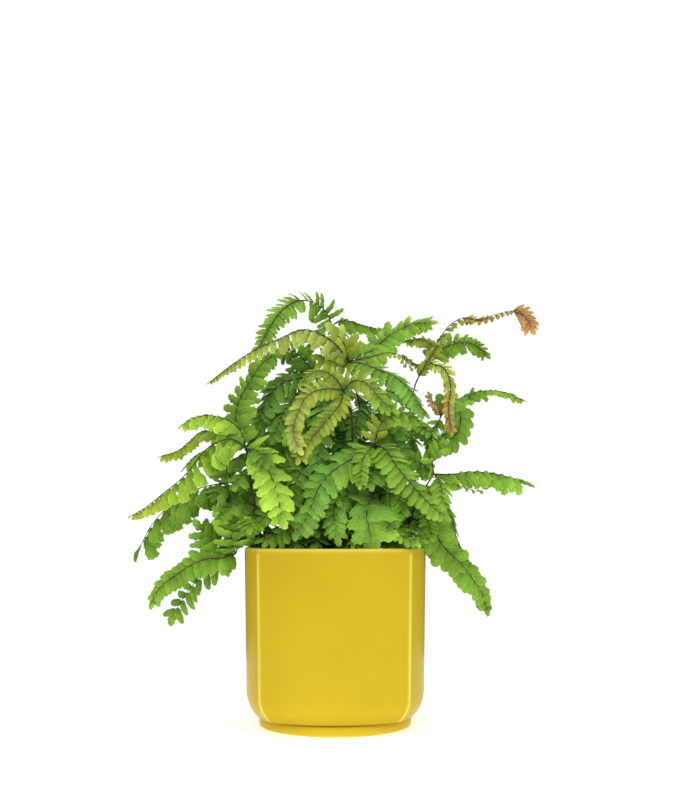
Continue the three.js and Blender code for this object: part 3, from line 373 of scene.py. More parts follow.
          fan=Fan(98, 90, 3, 72, 17, 10, -80, "fresh")),
    Frond("frond_back_low_right", (38, 28), [(52, 40, 164), (58, 46, 186), (61, 50, 202)],
          fan=Fan(50, 85, 3, 68, 16, 12, -80, "mid")),
]


# ------------------------------------------------------------------ sizes and colours

def number(name, description, default, **options):
    return FloatProperty(name=name, description=description, default=default, **options)


def millimetres(name, description, default):
    return number(name, description, default * MM, unit="LENGTH", subtype="DISTANCE", precision=4)


def paint(name, description, *screen_colour):
    """A colour given as on a screen, 0 to 255, and held as Blender works with it."""
    def linear(level):
        level /= 255
        return level / 12.92 if level <= 0.04045 else ((level + 0.055) / 1.055) ** 2.4
    return FloatVectorProperty(name=name, description=description, subtype="COLOR", size=3,
                               min=0, max=1, default=[linear(level) for level in screen_colour])


class PotSettings(bpy.types.PropertyGroup):
    half_width: millimetres("Half width", "Axis to the middle of a face, at the rim", 75.6)
    face_radius: millimetres("Face radius", "Each of the four faces bulges on this radius", 133.4)
    height: number("Height", "Ground to rim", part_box("pot")[1].z, unit="LENGTH")
    wall: millimetres("Wall", "Thickness of the wall", 5)
    taper: millimetres("Taper", "How far each face draws in down to the shoulder", 1.4)
    shoulder: millimetres("Shoulder", "Where the upright face turns into the bottom curve", 30.5)
    bottom_radius: millimetres("Bottom radius", "Radius of the bottom curve", 30)
    foot_height: millimetres("Foot height", "Height of the low foot", 9)
    foot_radius: millimetres("Foot radius", "The foot is round", 63.8)
    groove: millimetres("Groove", "Height of the groove above the foot", 0.6)
    groove_squareness: number("Groove squareness", "How square the plan is where it meets the foot",
                              0.7, min=0, max=1)
    floor: millimetres("Floor", "Inside floor above the ground", 14)
    ridge: number("Ridge softness", "Half the angle that a ridge is rounded over",
                  math.radians(0.9), subtype="ANGLE")
    glaze: paint("Glaze", "The pot's yellow", 216, 186, 42)
    # Thin glaze colour: glaze that runs thin and a painted highlight, on the ridges and the rim.
    thin_glaze_and_highlight: paint("Thin glaze", "Where the glaze runs thin, on ridges and rim", 255, 234, 98)
    # Pooled glaze colour: glaze gathered in the groove, with painted shade there and over the bottom
    # curve; also the glaze's cloudy patches and specks.
    pooled_glaze_and_shade: paint("Pooled glaze", "Where the glaze gathers, in the groove", 158, 120, 10)


class SoilSettings(bpy.types.PropertyGroup):
    edge: millimetres("Edge height", "Soil level at the wall", 134)
    crown: millimetres("Crown height", "Soil level in the middle", 138)
    gap: millimetres("Gap", "Between soil and wall", 0.4)
    crumbs: IntProperty(name="Crumbs", description="Loose crumbs on the surface", default=260, min=0)
    damp: paint("Damp soil", "The darker parts", 38, 25, 17)
    dry: paint("Dry soil", "The lighter parts", 84, 60, 42)


class FernSettings(bpy.types.PropertyGroup):
    stalk_radius: millimetres("Stalk radius", "At the soil", 0.95)
    rib_radius: millimetres("Rib radius", "At the start of a long finger", 0.6)
    leaf_thickness: number("Leaf thickness", "As a share of the leaflet's length", 0.018,
                           min=0.005, max=0.1)
    growth: number("Growth", "Leaflet length against the table's", 1.04, min=0.5, max=1.1)
    unrest: number("Unrest", "How much leaflets differ from each other", 1.0, min=0, max=3)
    seed: IntProperty(name="Seed", description="Seed of all random draws", default=7)
    bright: paint("Bright green", "Young leaflets in full light", 160, 200, 66)
    fresh: paint("Fresh green", "Most leaflets", 127, 170, 53)
    clear: paint("Clear green", "Broad cool leaflets", 114, 162, 58)
    mid: paint("Mid green", "Grown leaflets", 113, 154, 43)
    deep: paint("Deep green", "Old leaflets", 108, 151, 48)
    dusky: paint("Dusky green", "Leaflets inside the plant", 114, 160, 62)
    yellow: paint("Yellow green", "Leaflets near the tips", 164, 188, 54)
    olive: paint("Olive", "Young dull leaflets", 146, 166, 58)
    pale_olive: paint("Pale olive", "Palest young leaflets", 166, 182, 86)
    bronze: paint("Bronze", "Unfolding leaflets", 184, 156, 92)
    rust: paint("Rust", "The newest leaflets", 196, 152, 92)
    wood: paint("Stalk", "Wiry stalks and ribs", 44, 30, 22)


class StageSettings(bpy.types.PropertyGroup):
    floor_size: number("Floor size", "Side of the pale floor", 0.9, unit="LENGTH")
    floor_colour: paint("Floor colour", "The pale floor", 250, 250, 250)
    surround: number("Surround light", "Strength of the even light", 0.34)
    key: number("Key light", "Power of the front light in watts", 13.5)
    fill: number("Fill light", "Power of the side light in watts", 6.5)
    top: number("Top light", "Power of the overhead light in watts", 7.5)


# ------------------------------------------------------------------ helpers for modelling

def settings(name):
    """The scene's settings for the pot, the soil, the fern or the stage."""
    return getattr(bpy.context.scene, "fern_" + name)


def deselect():
    if bpy.context.mode != "OBJECT":
        bpy.ops.object.mode_set(mode="OBJECT")
    bpy.ops.object.select_all(action="DESELECT")


def select(*pieces):
    """Selects only these pieces, and makes the first one active."""
    deselect()
    for piece in pieces:
        piece.select_set(True)
    bpy.context.view_layer.objects.active = pieces[0]


def started(name):
    """Names the piece that is active, such as a primitive that was just added, and its mesh."""
    piece = bpy.context.active_object
    piece.name = piece.data.name = name
    return piece


def edit(piece):
    """Opens a piece in edit mode, selected all over."""
    select(piece)
    bpy.ops.object.mode_set(mode="EDIT")
    bpy.ops.mesh.select_all(action="SELECT")


def pick(piece, test):
    """In edit mode, selects the vertices whose place passes the test."""
    mesh = bmesh.from_edit_mesh(piece.data)
    bpy.context.tool_settings.mesh_select_mode = (True, False, False)
    for vertex in mesh.verts:
        vertex.select_set(bool(test(vertex.co)))
    mesh.select_flush_mode()
    bmesh.update_edit_mesh(piece.data)


def smooth(piece, degrees=SMOOTH_UNDER):
    """Shades a piece smooth, apart from its sharper edges."""
    select(piece)
    bpy.ops.object.shade_smooth_by_angle(angle=math.radians(degrees))


def copied(piece):
    """A copy of a piece with its own mesh."""
    twin = piece.copy()
    twin.data = piece.data.copy()
    bpy.context.collection.objects.link(twin)
    return twin


def places(piece):
    """The places of all vertices of a piece, as an array."""
    flat = np.empty(len(piece.data.vertices) * 3, np.float32)
    piece.data.vertices.foreach_get("co", flat)
    return flat.reshape(-1, 3).astype(float)


def set_places(piece, points):
    piece.data.vertices.foreach_set("co", np.asarray(points, np.float32).ravel())
    piece.data.update()


def joined(pieces, name):
    """Joins pieces that share their attributes into one piece at the origin."""
    select(*pieces)
    bpy.ops.object.join()
    return started(name)


def finished(piece, material, slot, *nodes):
    """Gives a piece its finish, and puts it in place of its nodes in the frame."""
    piece.data.materials.clear()
    piece.data.materials.append(material)
    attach(piece, BODY)
    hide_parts(*nodes)


def in_box(points, margin=0.4 * MM):
    """Points drawn in, where they reach out of the solids' box."""
    low, high = CAD_BOUNDS
    return np.clip(points, np.array(low) + margin, np.array(high) - margin)


# ------------------------------------------------------------------ finishes

class Finish:
    """A procedural material under construction."""

    def __init__(self, name):
        self.material = bpy.data.materials.new(name)
        self.material.use_nodes = True
        self.tree = self.material.node_tree
        self.surface = self.tree.nodes["Principled BSDF"]
        self.place = self.add("ShaderNodeTexCoord").outputs["Object"]

    def feed(self, socket, value):
        """Links a socket to the node output that is given, or sets its number or colour."""
        if isinstance(value, bpy.types.NodeSocket):
            self.tree.links.new(value, socket)
        else:
            socket.default_value = (*value, 1) if socket.type == "RGBA" else value

    def add(self, kind, inputs=(), **values):
        node = self.tree.nodes.new(kind)
        for name, value in values.items():
            setattr(node, name, value)
        for name, value in dict(inputs).items():
            self.feed(node.inputs[name], value)
        return node

    def set(self, **values):
        """Feeds sockets of the shader, named with _ in place of a space."""
        for name, value in values.items():
            self.feed(self.surface.inputs[name.replace("_", " ")], value)

    def maths(self, operation, *values, clamp=False):
        """The result of one operation on one or two values."""
        inputs = dict(enumerate(values))
        return self.add("ShaderNodeMath", inputs, operation=operation, use_clamp=clamp).outputs[0]

    def total(self, value, *parts):
        """A value plus parts, each a (value, weight)."""
        for part, weight in parts:
            value = self.maths("ADD", value, self.maths("MULTIPLY", part, weight))
        return value

    def blend(self, share, first, second, kind="MIX"):
        node = self.add("ShaderNodeMix", data_type="RGBA", blend_type=kind)
        sockets = {socket.identifier: socket for socket in (*node.inputs, *node.outputs)}
        for name, value in (("Factor_Float", share), ("A_Color", first), ("B_Color", second)):
            self.feed(sockets[name], value)
        return sockets["Result_Color"]

    def attribute(self, name, output="Fac"):
        return self.add("ShaderNodeAttribute", attribute_name=name).outputs[output]

    def noise(self, scale, detail=3.0, roughness=0.55):
        inputs = {"Vector": self.place, "Scale": scale, "Detail": detail, "Roughness": roughness}
        return self.add("ShaderNodeTexNoise", inputs).outputs["Fac"]

    def spread(self, value, low, high, to_low=0.0, to_high=1.0):
        """A value's range from low to high, spread smoothly over another range."""
        inputs = {"Value": value, "From Min": low, "From Max": high, "To Min": to_low,
                  "To Max": to_high}
        return self.add("ShaderNodeMapRange", inputs, interpolation_type="SMOOTHSTEP").outputs["Result"]

    def bump(self, height, distance):
        bump = self.add("ShaderNodeBump", {"Height": height, "Distance": distance, "Strength": 1})
        self.set(Normal=bump.outputs["Normal"])


def glaze_finish():
    """Cloudy glaze: paler where it is thin, with a painted highlight on ridges and rim;
    darker where it gathers, with painted shade in the groove and over the bottom curve; small specks.
    """
    pot = settings("pot")
    finish = Finish("yellow_glaze")
    cloudy = finish.noise(14, 4)
    base = finish.blend(finish.spread(cloudy, 0.2, 0.8, 0.0, 0.16), pot.glaze, pot.pooled_glaze_and_shade)
    streaks = finish.spread(finish.noise(60), 0.2, 0.8, 0.75, 1.0)
    # The thin mark is thin glaze and a painted highlight on ridges and rim.
    thin = finish.maths("MULTIPLY", finish.attribute("thin"), streaks, clamp=True)
    base = finish.blend(thin, base, pot.thin_glaze_and_highlight)
    # Pooled glaze and painted shade in the groove, and painted shade over the bottom curve above it.
    base = finish.blend(finish.attribute("pool"), base, pot.pooled_glaze_and_shade)
    specks = finish.maths("MULTIPLY", finish.spread(finish.noise(900, 2, 0.7), 0.72, 0.8), 0.2)
    finish.set(Base_Color=finish.blend(specks, base, pot.pooled_glaze_and_shade),
               Roughness=finish.spread(cloudy, 0.2, 0.8, 0.26, 0.36),
               Specular_IOR_Level=0.03, Coat_Weight=0.08, Coat_IOR=1.35, Coat_Roughness=0.1)
    finish.bump(finish.noise(30, 1), 0.00025)
    return finish.material


def soil_finish():
    soil = settings("soil")
    finish = Finish("damp_soil")
    grain, patches = finish.noise(700, 6, 0.7), finish.noise(60)
    dry = finish.maths("MULTIPLY", finish.spread(grain, 0.35, 0.7), finish.spread(patches, 0.3, 0.7))
    finish.set(Base_Color=finish.blend(dry, soil.damp, soil.dry),
               Roughness=finish.spread(grain, 0.3, 0.7, 0.75, 0.98))
    finish.bump(grain, 0.0015)
    return finish.material


def leaf_finish(name, gloss, rim_light, veins=22):
    """Leaflets: their own tint, fanned veins, patches, painted shade near the rib and under the
    neighbouring leaflet, and a painted highlight on the thin rim.
    """
    finish = Finish(name)
    sheet = finish.add("ShaderNodeUVMap", uv_map="leaflet").outputs["UV"]
    parts = finish.add("ShaderNodeSeparateXYZ", {"Vector": sheet})
    along, sideways = parts.outputs["X"], finish.maths("SUBTRACT", parts.outputs["Y"], 0.5)
    wobble = finish.spread(finish.noise(260, 2), 0.0, 1.0, -0.09, 0.09)
    turn = finish.maths("ARCTAN2", sideways, finish.maths("ADD", along, 0.12))
    wave = finish.maths("SINE", finish.maths("MULTIPLY", finish.maths("ADD", turn, wobble), veins))
    vein = finish.maths("POWER", finish.maths("ABSOLUTE", wave), 4)
    patches = finish.spread(finish.noise(55, 3, 0.6), 0.25, 0.75, -0.5, 0.5)
    mottle = finish.spread(finish.noise(190, 4, 0.65), 0.25, 0.75, -0.5, 0.5)
    light = finish.total(1.3, (mottle, 0.34), (patches, 0.36), (vein, 0.13))
    # Painted shade towards the rib, where leaflets overlap, and lighter towards the end.
    light = finish.maths("ADD", light, finish.spread(along, 0.0, 0.9, -0.2, 0.12))
    # Painted shade on the side that lies under the neighbouring leaflet, painted light on the side that
    # lifts over it.
    light = finish.maths("ADD", light, finish.spread(sideways, -0.3, 0.1, -0.24, 0.06))
    tint = {0: finish.attribute("tint", "Color"), "Scale": light}
    shaded = finish.add("ShaderNodeVectorMath", tint, operation="SCALE").outputs["Vector"]
    # Painted highlight on the thin rim, where light shines through the margin.
    rim_highlight = finish.blend(1.0, shaded, rim_light, kind="MULTIPLY")
    rim = finish.maths("POWER", finish.attribute("rim"), 2)
    rim = finish.maths("MULTIPLY", rim, 0.8, clamp=True)
    finish.set(Base_Color=finish.blend(rim, shaded, rim_highlight),
               Roughness=finish.spread(mottle, -0.5, 0.5, gloss, gloss + 0.16),
               Specular_IOR_Level=0.3, Subsurface_Weight=0.12,
               Subsurface_Radius=(0.6, 1.0, 0.25), Subsurface_Scale=0.0012)
    finish.bump(finish.total(0, (vein, 0.5), (mottle, 1.2), (patches, 3.0)), 0.0005)
    return finish.material


def stem_finish():
    finish = Finish("wiry_stalk")
    streak = finish.noise(180, 4, 0.6)
    worn = finish.spread(streak, 0.35, 0.75)
    finish.set(Base_Color=finish.blend(worn, settings("fern").wood, (0.09, 0.055, 0.02)),
               Roughness=finish.spread(streak, 0.3, 0.7, 0.28, 0.45), Specular_IOR_Level=0.5)
    finish.bump(streak, 0.00015)
    return finish.material


def floor_finish():
    finish = Finish("pale_floor")
    cloudy = finish.spread(finish.noise(3, 2), 0.3, 0.7, 0, 0.02)
    tone = settings("stage").floor_colour
    finish.set(Base_Color=finish.blend(cloudy, tone, (0.9, 0.9, 0.9)), Roughness=0.7,
               Specular_IOR_Level=0.2, Emission_Color=(1, 1, 1), Emission_Strength=0.55)
    return finish.material


# ------------------------------------------------------------------ the pot's shape

# Angles of the plan's corners from a ridge, in degrees: close together where it is rounded.
PLAN_STEPS = (0, 0.35, 0.75, 1.2, 1.8, 2.6, 3.8, 5.5, 8, 11, 15, 19.5, 24.5, 29.5, 34.5, 39.5)
# Rounded edges of the profile, in millimetres:
FOOT_BASE = ((2.4, 0), (1.2, 0.2), (0.5, 0.8), (0.2, 1.7))  # in from the foot's side, up
FOOT_TOP = ((0, 1.2), (0.25, 0.5), (0.9, 0.1), (1.2, -0.3))  # in from its side, down from its top
# in from the face, down from the rim
RIM = ((0, 7), (0, 5), (0, 3.2), (0.1, 2.2), (0.5, 1.1), (1.2, 0.4), (2.2, 0.05), (3, 0), (3.8, 0.3))
RIM_INSIDE = ((-0.4, 1.2), (0, 2.8), (0, 8))  # in from the inner wall, down from the rim


def plan_angles():
    """Angles of all plan vertices, going round from the ridge at 45 degrees."""
    angles = []
    for ridge in (45, 135, 225, 315):
        angles += [math.radians(ridge + step) for step in PLAN_STEPS]
        angles += [math.radians(ridge + 90 - step) for step in (45, *reversed(PLAN_STEPS[1:]))]
    return angles


def plan_reach(angle):
    """The plan's reach at an angle, as a share of the half width: four curved faces that
    meet in softened ridges on the diagonals."""
    pot = settings("pot")
    quarter = math.pi / 2
    from_ridge = np.abs(np.asarray(angle) % quarter - quarter / 2)
    softened = np.minimum(np.sqrt(from_ridge ** 2 + pot.ridge ** 2), quarter / 2)
    from_face = quarter / 2 - softened
    centre = pot.face_radius - pot.half_width
    across = centre * np.cos(from_face)
    reach = -across + np.sqrt(across ** 2 + pot.face_radius ** 2 - centre ** 2)
    return reach / pot.half_width


def bottom_curve(half_width, radius, top, lowest, steps):
    """Profile points up the curve between the foot or floor and the upright face."""
    turn = math.asin(min(1, (top - lowest) / radius))
    curve = []
    for i in range(steps + 1):
        angle = turn * (1 - i / steps)
        curve.append((half_width - radius * (1 - math.cos(angle)), top - radius * math.sin(angle)))
    return curve


def inner_profile(gap, floor):
    """The inside's bottom curve, a gap away from the wall."""
    pot = settings("pot")
    half_width = pot.half_width - pot.taper - pot.wall - gap
    return bottom_curve(half_width, pot.bottom_radius - pot.wall, pot.shoulder + 6 * MM, floor, 5)


def squared(name, profile):
    """A closed body: a filled disc extruded and resized ring by ring through a profile of
    (half width, height) points, then pressed to the pot's plan. A third value is how square
    the ring becomes: 1 is the full plan and 0 leaves it round."""
    angles = plan_angles()
    deselect()
    reach, height = profile[0][:2]
    bpy.ops.mesh.primitive_circle_add(vertices=len(angles), radius=reach, fill_type="NGON",
                                      location=(0, 0, 0))
    piece = started(name)
    edit(piece)
    bpy.ops.transform.translate(value=(0, 0, height))
    for new_reach, new_height, *_ in profile[1:]:
        move = {"value": (0, 0, new_height - height)}
        bpy.ops.mesh.extrude_region_move(TRANSFORM_OT_translate=move)
        size = new_reach / reach
        bpy.ops.transform.resize(value=(size, size, 1), center_override=(0, 0, new_height))
        reach, height = new_reach, new_height
    bpy.ops.mesh.select_all(action="SELECT")
    bpy.ops.mesh.normals_make_consistent(inside=False)
    bpy.ops.object.mode_set(mode="OBJECT")
    for i, vertex in enumerate(piece.data.vertices):
        ring, corner = divmod(i, len(angles))
        reach, _, squareness = (*profile[ring], 1)[:3]
        reach *= 1 + squareness * (float(plan_reach(angles[corner])) - 1)
        vertex.co.xy = (reach * math.cos(angles[corner]), reach * math.sin(angles[corner]))
    return piece


def bell(values, middle, width):
    """1 at the middle, and fading over a width on both sides of it."""
    return np.exp(-((values - middle) / width) ** 2)


def glaze_marks(points):
    """How thin the glaze runs at points of the pot, with a painted highlight on ridges and rim,
    and how far it gathers, with painted shade in the groove and over the bottom curve above the foot.
    """
    pot = settings("pot")
    angle = np.arctan2(points[:, 1], points[:, 0])
    reach = np.hypot(points[:, 0], points[:, 1]) / plan_reach(angle)
    from_ridge = np.abs(angle % (math.pi / 2) - math.pi / 4) * reach
    rise = points[:, 2]
    above_foot = rise - pot.foot_height
    outside = reach > pot.half_width - 0.75 * pot.wall
    # Ridges: thin glaze and a painted highlight along each ridge.
    ridge = bell(from_ridge, 0, 1.25 * MM)
    ridge *= (rise < pot.height - 3.4 * MM) & (rise > pot.foot_height + 1.5 * MM)
    ridge *= outside | (rise < pot.shoulder)
    # Rim: thin glaze and a painted highlight, strong enough to show through the shade of the leaves.
    thin_lip_and_highlight = 1.3 * bell(rise, pot.height, 2 * MM)
    foot_rim = 0.5 * bell(rise, 0.9 * MM, 0.9 * MM)
    # The groove: pooled glaze and painted shade.
    groove = bell(above_foot, 0.4 * MM, 0.7 * MM)
    # Painted shade over the bottom curve above the foot.
    groove += 0.22 * bell(above_foot, 3 * MM, 4 * MM) * (rise > pot.foot_height)
    return np.maximum.reduce([ridge, thin_lip_and_highlight, foot_rim]), np.minimum(0.9, 0.85 * groove)


SOIL_RINGS = 15  # from the wall to the middle
LUMPS, LUMP_HEIGHT = 130, 1.1  # the surface's lumps to a metre, and their height in millimetres


def soil_level(inwards):
    """The soil's height at a share of the way from the wall to the middle."""
    soil = settings("soil")
    return soil.edge + (soil.crown - soil.edge) * inwards ** 0.7


def clear_of_pot(points, margin=0.5 * MM, rim_depth=6 * MM):
    """Moves points in metres out of the pot's wall, off its rim and up from the soil."""
    pot, soil = settings("pot"), settings("soil")
    points = np.array(points, float)
    share = plan_reach(np.arctan2(points[:, 1], points[:, 0]))
    reach = np.hypot(points[:, 0], points[:, 1]) / share
    height = points[:, 2]
    outside = reach > pot.half_width - 0.6 * pot.wall  # these go out, and the others in
    low = height < pot.height + margin
    over_rim = (height > pot.height - rim_depth) & (reach < pot.half_width + margin)
    over_rim &= (reach > pot.half_width - pot.wall - margin) & low
    height[over_rim] = pot.height + margin
    outer, inner = pot.half_width + 2 * margin, pot.half_width - pot.wall - 2 * margin
    push = outside & low & ~over_rim & (reach < outer) & (height > pot.foot_height)
    points[push, :2] *= (outer / reach[push])[:, None]
    pull = ~outside & low & ~over_rim & (reach > inner)
    points[pull, :2] *= (inner / reach[pull])[:, None]
    height[~outside & (height < soil.crown + margin)] = soil.crown + margin
    return points


# ------------------------------------------------------------------ ribs and routes

def between(before, first, second, after, share):
    """Centripetal interpolation between the middle two of four points."""
    ways = (first - before, second - first, after - second)
    gap, middle, last = (max(1e-4, way.length ** 0.5) for way in ways)
    leave = ways[0] / gap - (second - before) / (gap + middle) + ways[1] / middle
    arrive = ways[1] / middle - (after - first) / (middle + last) + ways[2] / last
    leave, arrive = leave * middle, arrive * middle
    square, cube = share ** 2, share ** 3
    return ((2 * cube - 3 * square + 1) * first + (cube - 2 * square + share) * leave
            + (3 * square - 2 * cube) * second + (cube - square) * arrive)


class Route:
    """A smooth way through a few points in millimetres, measured along its length."""

    def __init__(self, points, steps=10):
        knots = [Vector(point) for point in points]
        knots = [2 * knots[0] - knots[1], *knots, 2 * knots[-1] - knots[-2]]
        self.way = []
        for four in zip(knots, knots[1:], knots[2:], knots[3:]):
            self.way += [between(*four, i / steps) for i in range(steps)]
        self.way.append(knots[-2])
        self.run = [0.0]
        for first, second in zip(self.way, self.way[1:]):
            self.run.append(self.run[-1] + (second - first).length)
        self.length = self.run[-1]

    def at(self, share):
        """The point and the direction at a share of the length."""
        wanted = max(0.0, min(1.0, share)) * self.length
        i = min(len(self.run) - 2, max(0, int(np.searchsorted(self.run, wanted)) - 1))
        part = (wanted - self.run[i]) / max(1e-9, self.run[i + 1] - self.run[i])
        return self.way[i].lerp(self.way[i + 1], part), (self.way[i + 1] - self.way[i]).normalized()


def arching(start, azimuth, reach, rise, fall, steps=5):
    """A route that leaves a point at one tilt and ends at another, all in one azimuth."""
    point, route = Vector(start), []
    step = reach / steps
    for i in range(steps):
        tilt = math.radians(rise + (fall - rise) * (i + 0.5) / steps)
        point = point + step * Vector((math.cos(tilt) * math.cos(azimuth),
                                       math.cos(tilt) * math.sin(azimuth), math.sin(tilt)))
        route.append(tuple(point))
    return route


def fan_fingers(frond):
    """Fingers that fan out from a fork and arch over, the outer and every second one shorter."""
    fan = frond.fan
    fingers = []
    for k in range(fan.count):
        offset = k / (fan.count - 1) - 0.5
        azimuth = math.radians(fan.azimuth + offset * fan.spread)
        reach = fan.reach * (1 - 0.35 * abs(offset)) * (0.92 if k % 2 else 1)
        route = arching(frond.stalk[-1], azimuth, reach, fan.rise, fan.fall)
        outward = (0.7 * math.cos(azimuth), 0.7 * math.sin(azimuth), 0.7)
        tone = (fan.tone, "deep", "fresh", "mid")[k % 4]
        fingers.append(Finger(route, fan.length, 0.5, 18, outward, tone=tone))
    return fingers


def spray_fingers(frond, golden_angle=137.5):
    """Short fingers that wind up a stalk and fill the inside of the plant."""
    sprays = frond.sprays
    draw = random.Random(f"{settings('fern').seed} sprays {frond.name}")
    stalk = Route([(*frond.root, settings("soil").crown / MM), *frond.stalk])
    fingers = []
    for k in range(sprays.count):
        share = sprays.low + (sprays.high - sprays.low) * (k + 0.5) / sprays.count
        azimuth = math.radians(golden_angle * k + draw.uniform(-25, 25))
        reach = sprays.reach * draw.uniform(0.75, 1.1)
        start = stalk.at(share)[0]
        route = arching(start, azimuth, reach, draw.uniform(15, 50), draw.uniform(-70, -35))
        looking = (0.5 * math.cos(azimuth), 0.5 * math.sin(azimuth) - 0.6, 0.6)
        fingers.append(Finger(route, sprays.length * draw.uniform(0.8, 1.1), 0.6, 16, looking,
                              start=tuple(start), tone=sprays.tones[k % len(sprays.tones)],
                              leaf=sprays.leaf, unrest=sprays.unrest))
    return fingers


def fingers_of(frond):
    """All fingers of a frond, each with the smooth route of its rib."""
    fingers = frond.fingers + (fan_fingers(frond) if frond.fan else [])
    fingers += spray_fingers(frond) if frond.sprays else []
    return [(arm, Route([arm.start or frond.stalk[-1], *arm.route])) for arm in fingers]


def rib_radius(arm, share):
    """A rib's radius in millimetres: thinner on a small arm and towards the tip."""
    return settings("fern").rib_radius / MM * min(1, 0.55 + arm.length / 40) * (1 - 0.6 * share)


def leaflet_length(arm, share):
    """A leaflet's length in millimetres: longest near the start, and the taper's at the tip."""
    start = min(1, 0.72 + 1.6 * share)
    return arm.length * start * (1 - (1 - arm.taper) * share ** 1.6)


# ------------------------------------------------------------------ leaflets

# Outlines of unit leaflets: (place along, lower edge, upper edge, lift of the column).
# The upper edge looks towards the finger's tip.
OUTLINES = {
    "oblong": ((0, -0.26, 0.26, 0), (0.19, -0.28, 0.28, 0.012), (0.39, -0.28, 0.29, 0.018),
               (0.58, -0.255, 0.285, 0.012), (0.76, -0.2, 0.26, -0.008), (0.9, -0.13, 0.215, -0.035),
               (0.985, -0.06, 0.15, -0.06)),
    "arched": ((0, -0.26, 0.26, 0), (0.19, -0.28, 0.28, 0.035), (0.38, -0.275, 0.29, 0.05),
               (0.56, -0.245, 0.28, 0.035), (0.73, -0.195, 0.25, -0.01), (0.86, -0.13, 0.21, -0.075),
               (0.94, -0.06, 0.15, -0.135)),
    "lobed": ((0, -0.3, 0.3, 0), (0.2, -0.31, 0.31, 0.01), (0.41, -0.295, 0.315, 0.015),
              (0.6, -0.24, 0.31, 0.01), (0.77, -0.15, 0.285, -0.005), (0.9, -0.05, 0.25, -0.025),
              (1.0, 0.04, 0.18, -0.045)),
    "narrow": ((0, -0.13, 0.14, 0), (0.17, -0.15, 0.17, 0.01), (0.36, -0.165, 0.19, 0.02),
               (0.55, -0.17, 0.195, 0.01), (0.73, -0.155, 0.18, -0.01), (0.88, -0.12, 0.15, -0.04),
               (0.98, -0.06, 0.09, -0.07)),
    "round": ((0, -0.17, 0.19, 0), (0.15, -0.27, 0.31, 0.02), (0.33, -0.33, 0.37, 0.035),
              (0.52, -0.345, 0.385, 0.03), (0.71, -0.315, 0.35, 0), (0.87, -0.245, 0.28, -0.04),
              (0.97, -0.15, 0.19, -0.08)),
    "wedge": ((0, -0.03, 0.03, 0), (0.2, -0.12, 0.14, 0.015), (0.4, -0.23, 0.26, 0.025),
              (0.6, -0.33, 0.36, 0.025), (0.78, -0.385, 0.41, 0.01), (0.9, -0.35, 0.38, -0.01),
              (0.99, -0.23, 0.26, -0.035)),
    "oval": ((0, -0.2, 0.2, 0), (0.18, -0.26, 0.27, 0.012), (0.38, -0.285, 0.3, 0.018),
             (0.58, -0.27, 0.29, 0.012), (0.76, -0.22, 0.245, -0.008), (0.9, -0.145, 0.175, -0.035),
             (0.99, -0.06, 0.09, -0.06)),
    "curled": ((0, -0.16, 0.18, 0), (0.14, -0.23, 0.27, 0.08), (0.3, -0.28, 0.32, 0.14),
               (0.48, -0.29, 0.33, 0.14), (0.65, -0.27, 0.3, 0.06), (0.77, -0.21, 0.23, -0.06),
               (0.83, -0.12, 0.15, -0.17)),
}
ROWS = 4
PLEATS = (-0.008, 0.012, -0.012, 0.012, -0.008)  # lift of each row of vertices
END_TEETH = (-1, 0.9, -0.5, 0.9, -0.9)  # each row's way forward at the end, in teeth
TOOTH = {"oblong": 0.042, "arched": 0.042, "lobed": 0.042, "narrow": 0.028, "round": 0.04,
         "wedge": 0.038, "oval": 0.016, "curled": 0.045}
UNIT_WIDTH = {shape: max(upper - lower for _, lower, upper, _ in outline)
              for shape, outline in OUTLINES.items()}
NEAR = 1e-3  # how near a vertex is to the place that it is picked by
ASIDE = 2  # how far a shaped column waits from the columns that aren't shaped yet
OVERLAP = 1.14  # a leaflet's breadth against the room that it has along the rib
# How leaflets differ at an unrest of 1, as standard deviations.
DROOP_SPREAD, TWIST_SPREAD = 9, 7  # degrees
LENGTH_SPREAD, PITCH_SPREAD, LEAN_SPREAD = 0.09, 0.05, 0.1
LIGHT_SPREAD, WARMTH_SPREAD = 0.1, 0.05
CURL, CURL_SPREAD = 0.08, 0.1
ROLL, ROLL_SPREAD = 0.34, 0.12


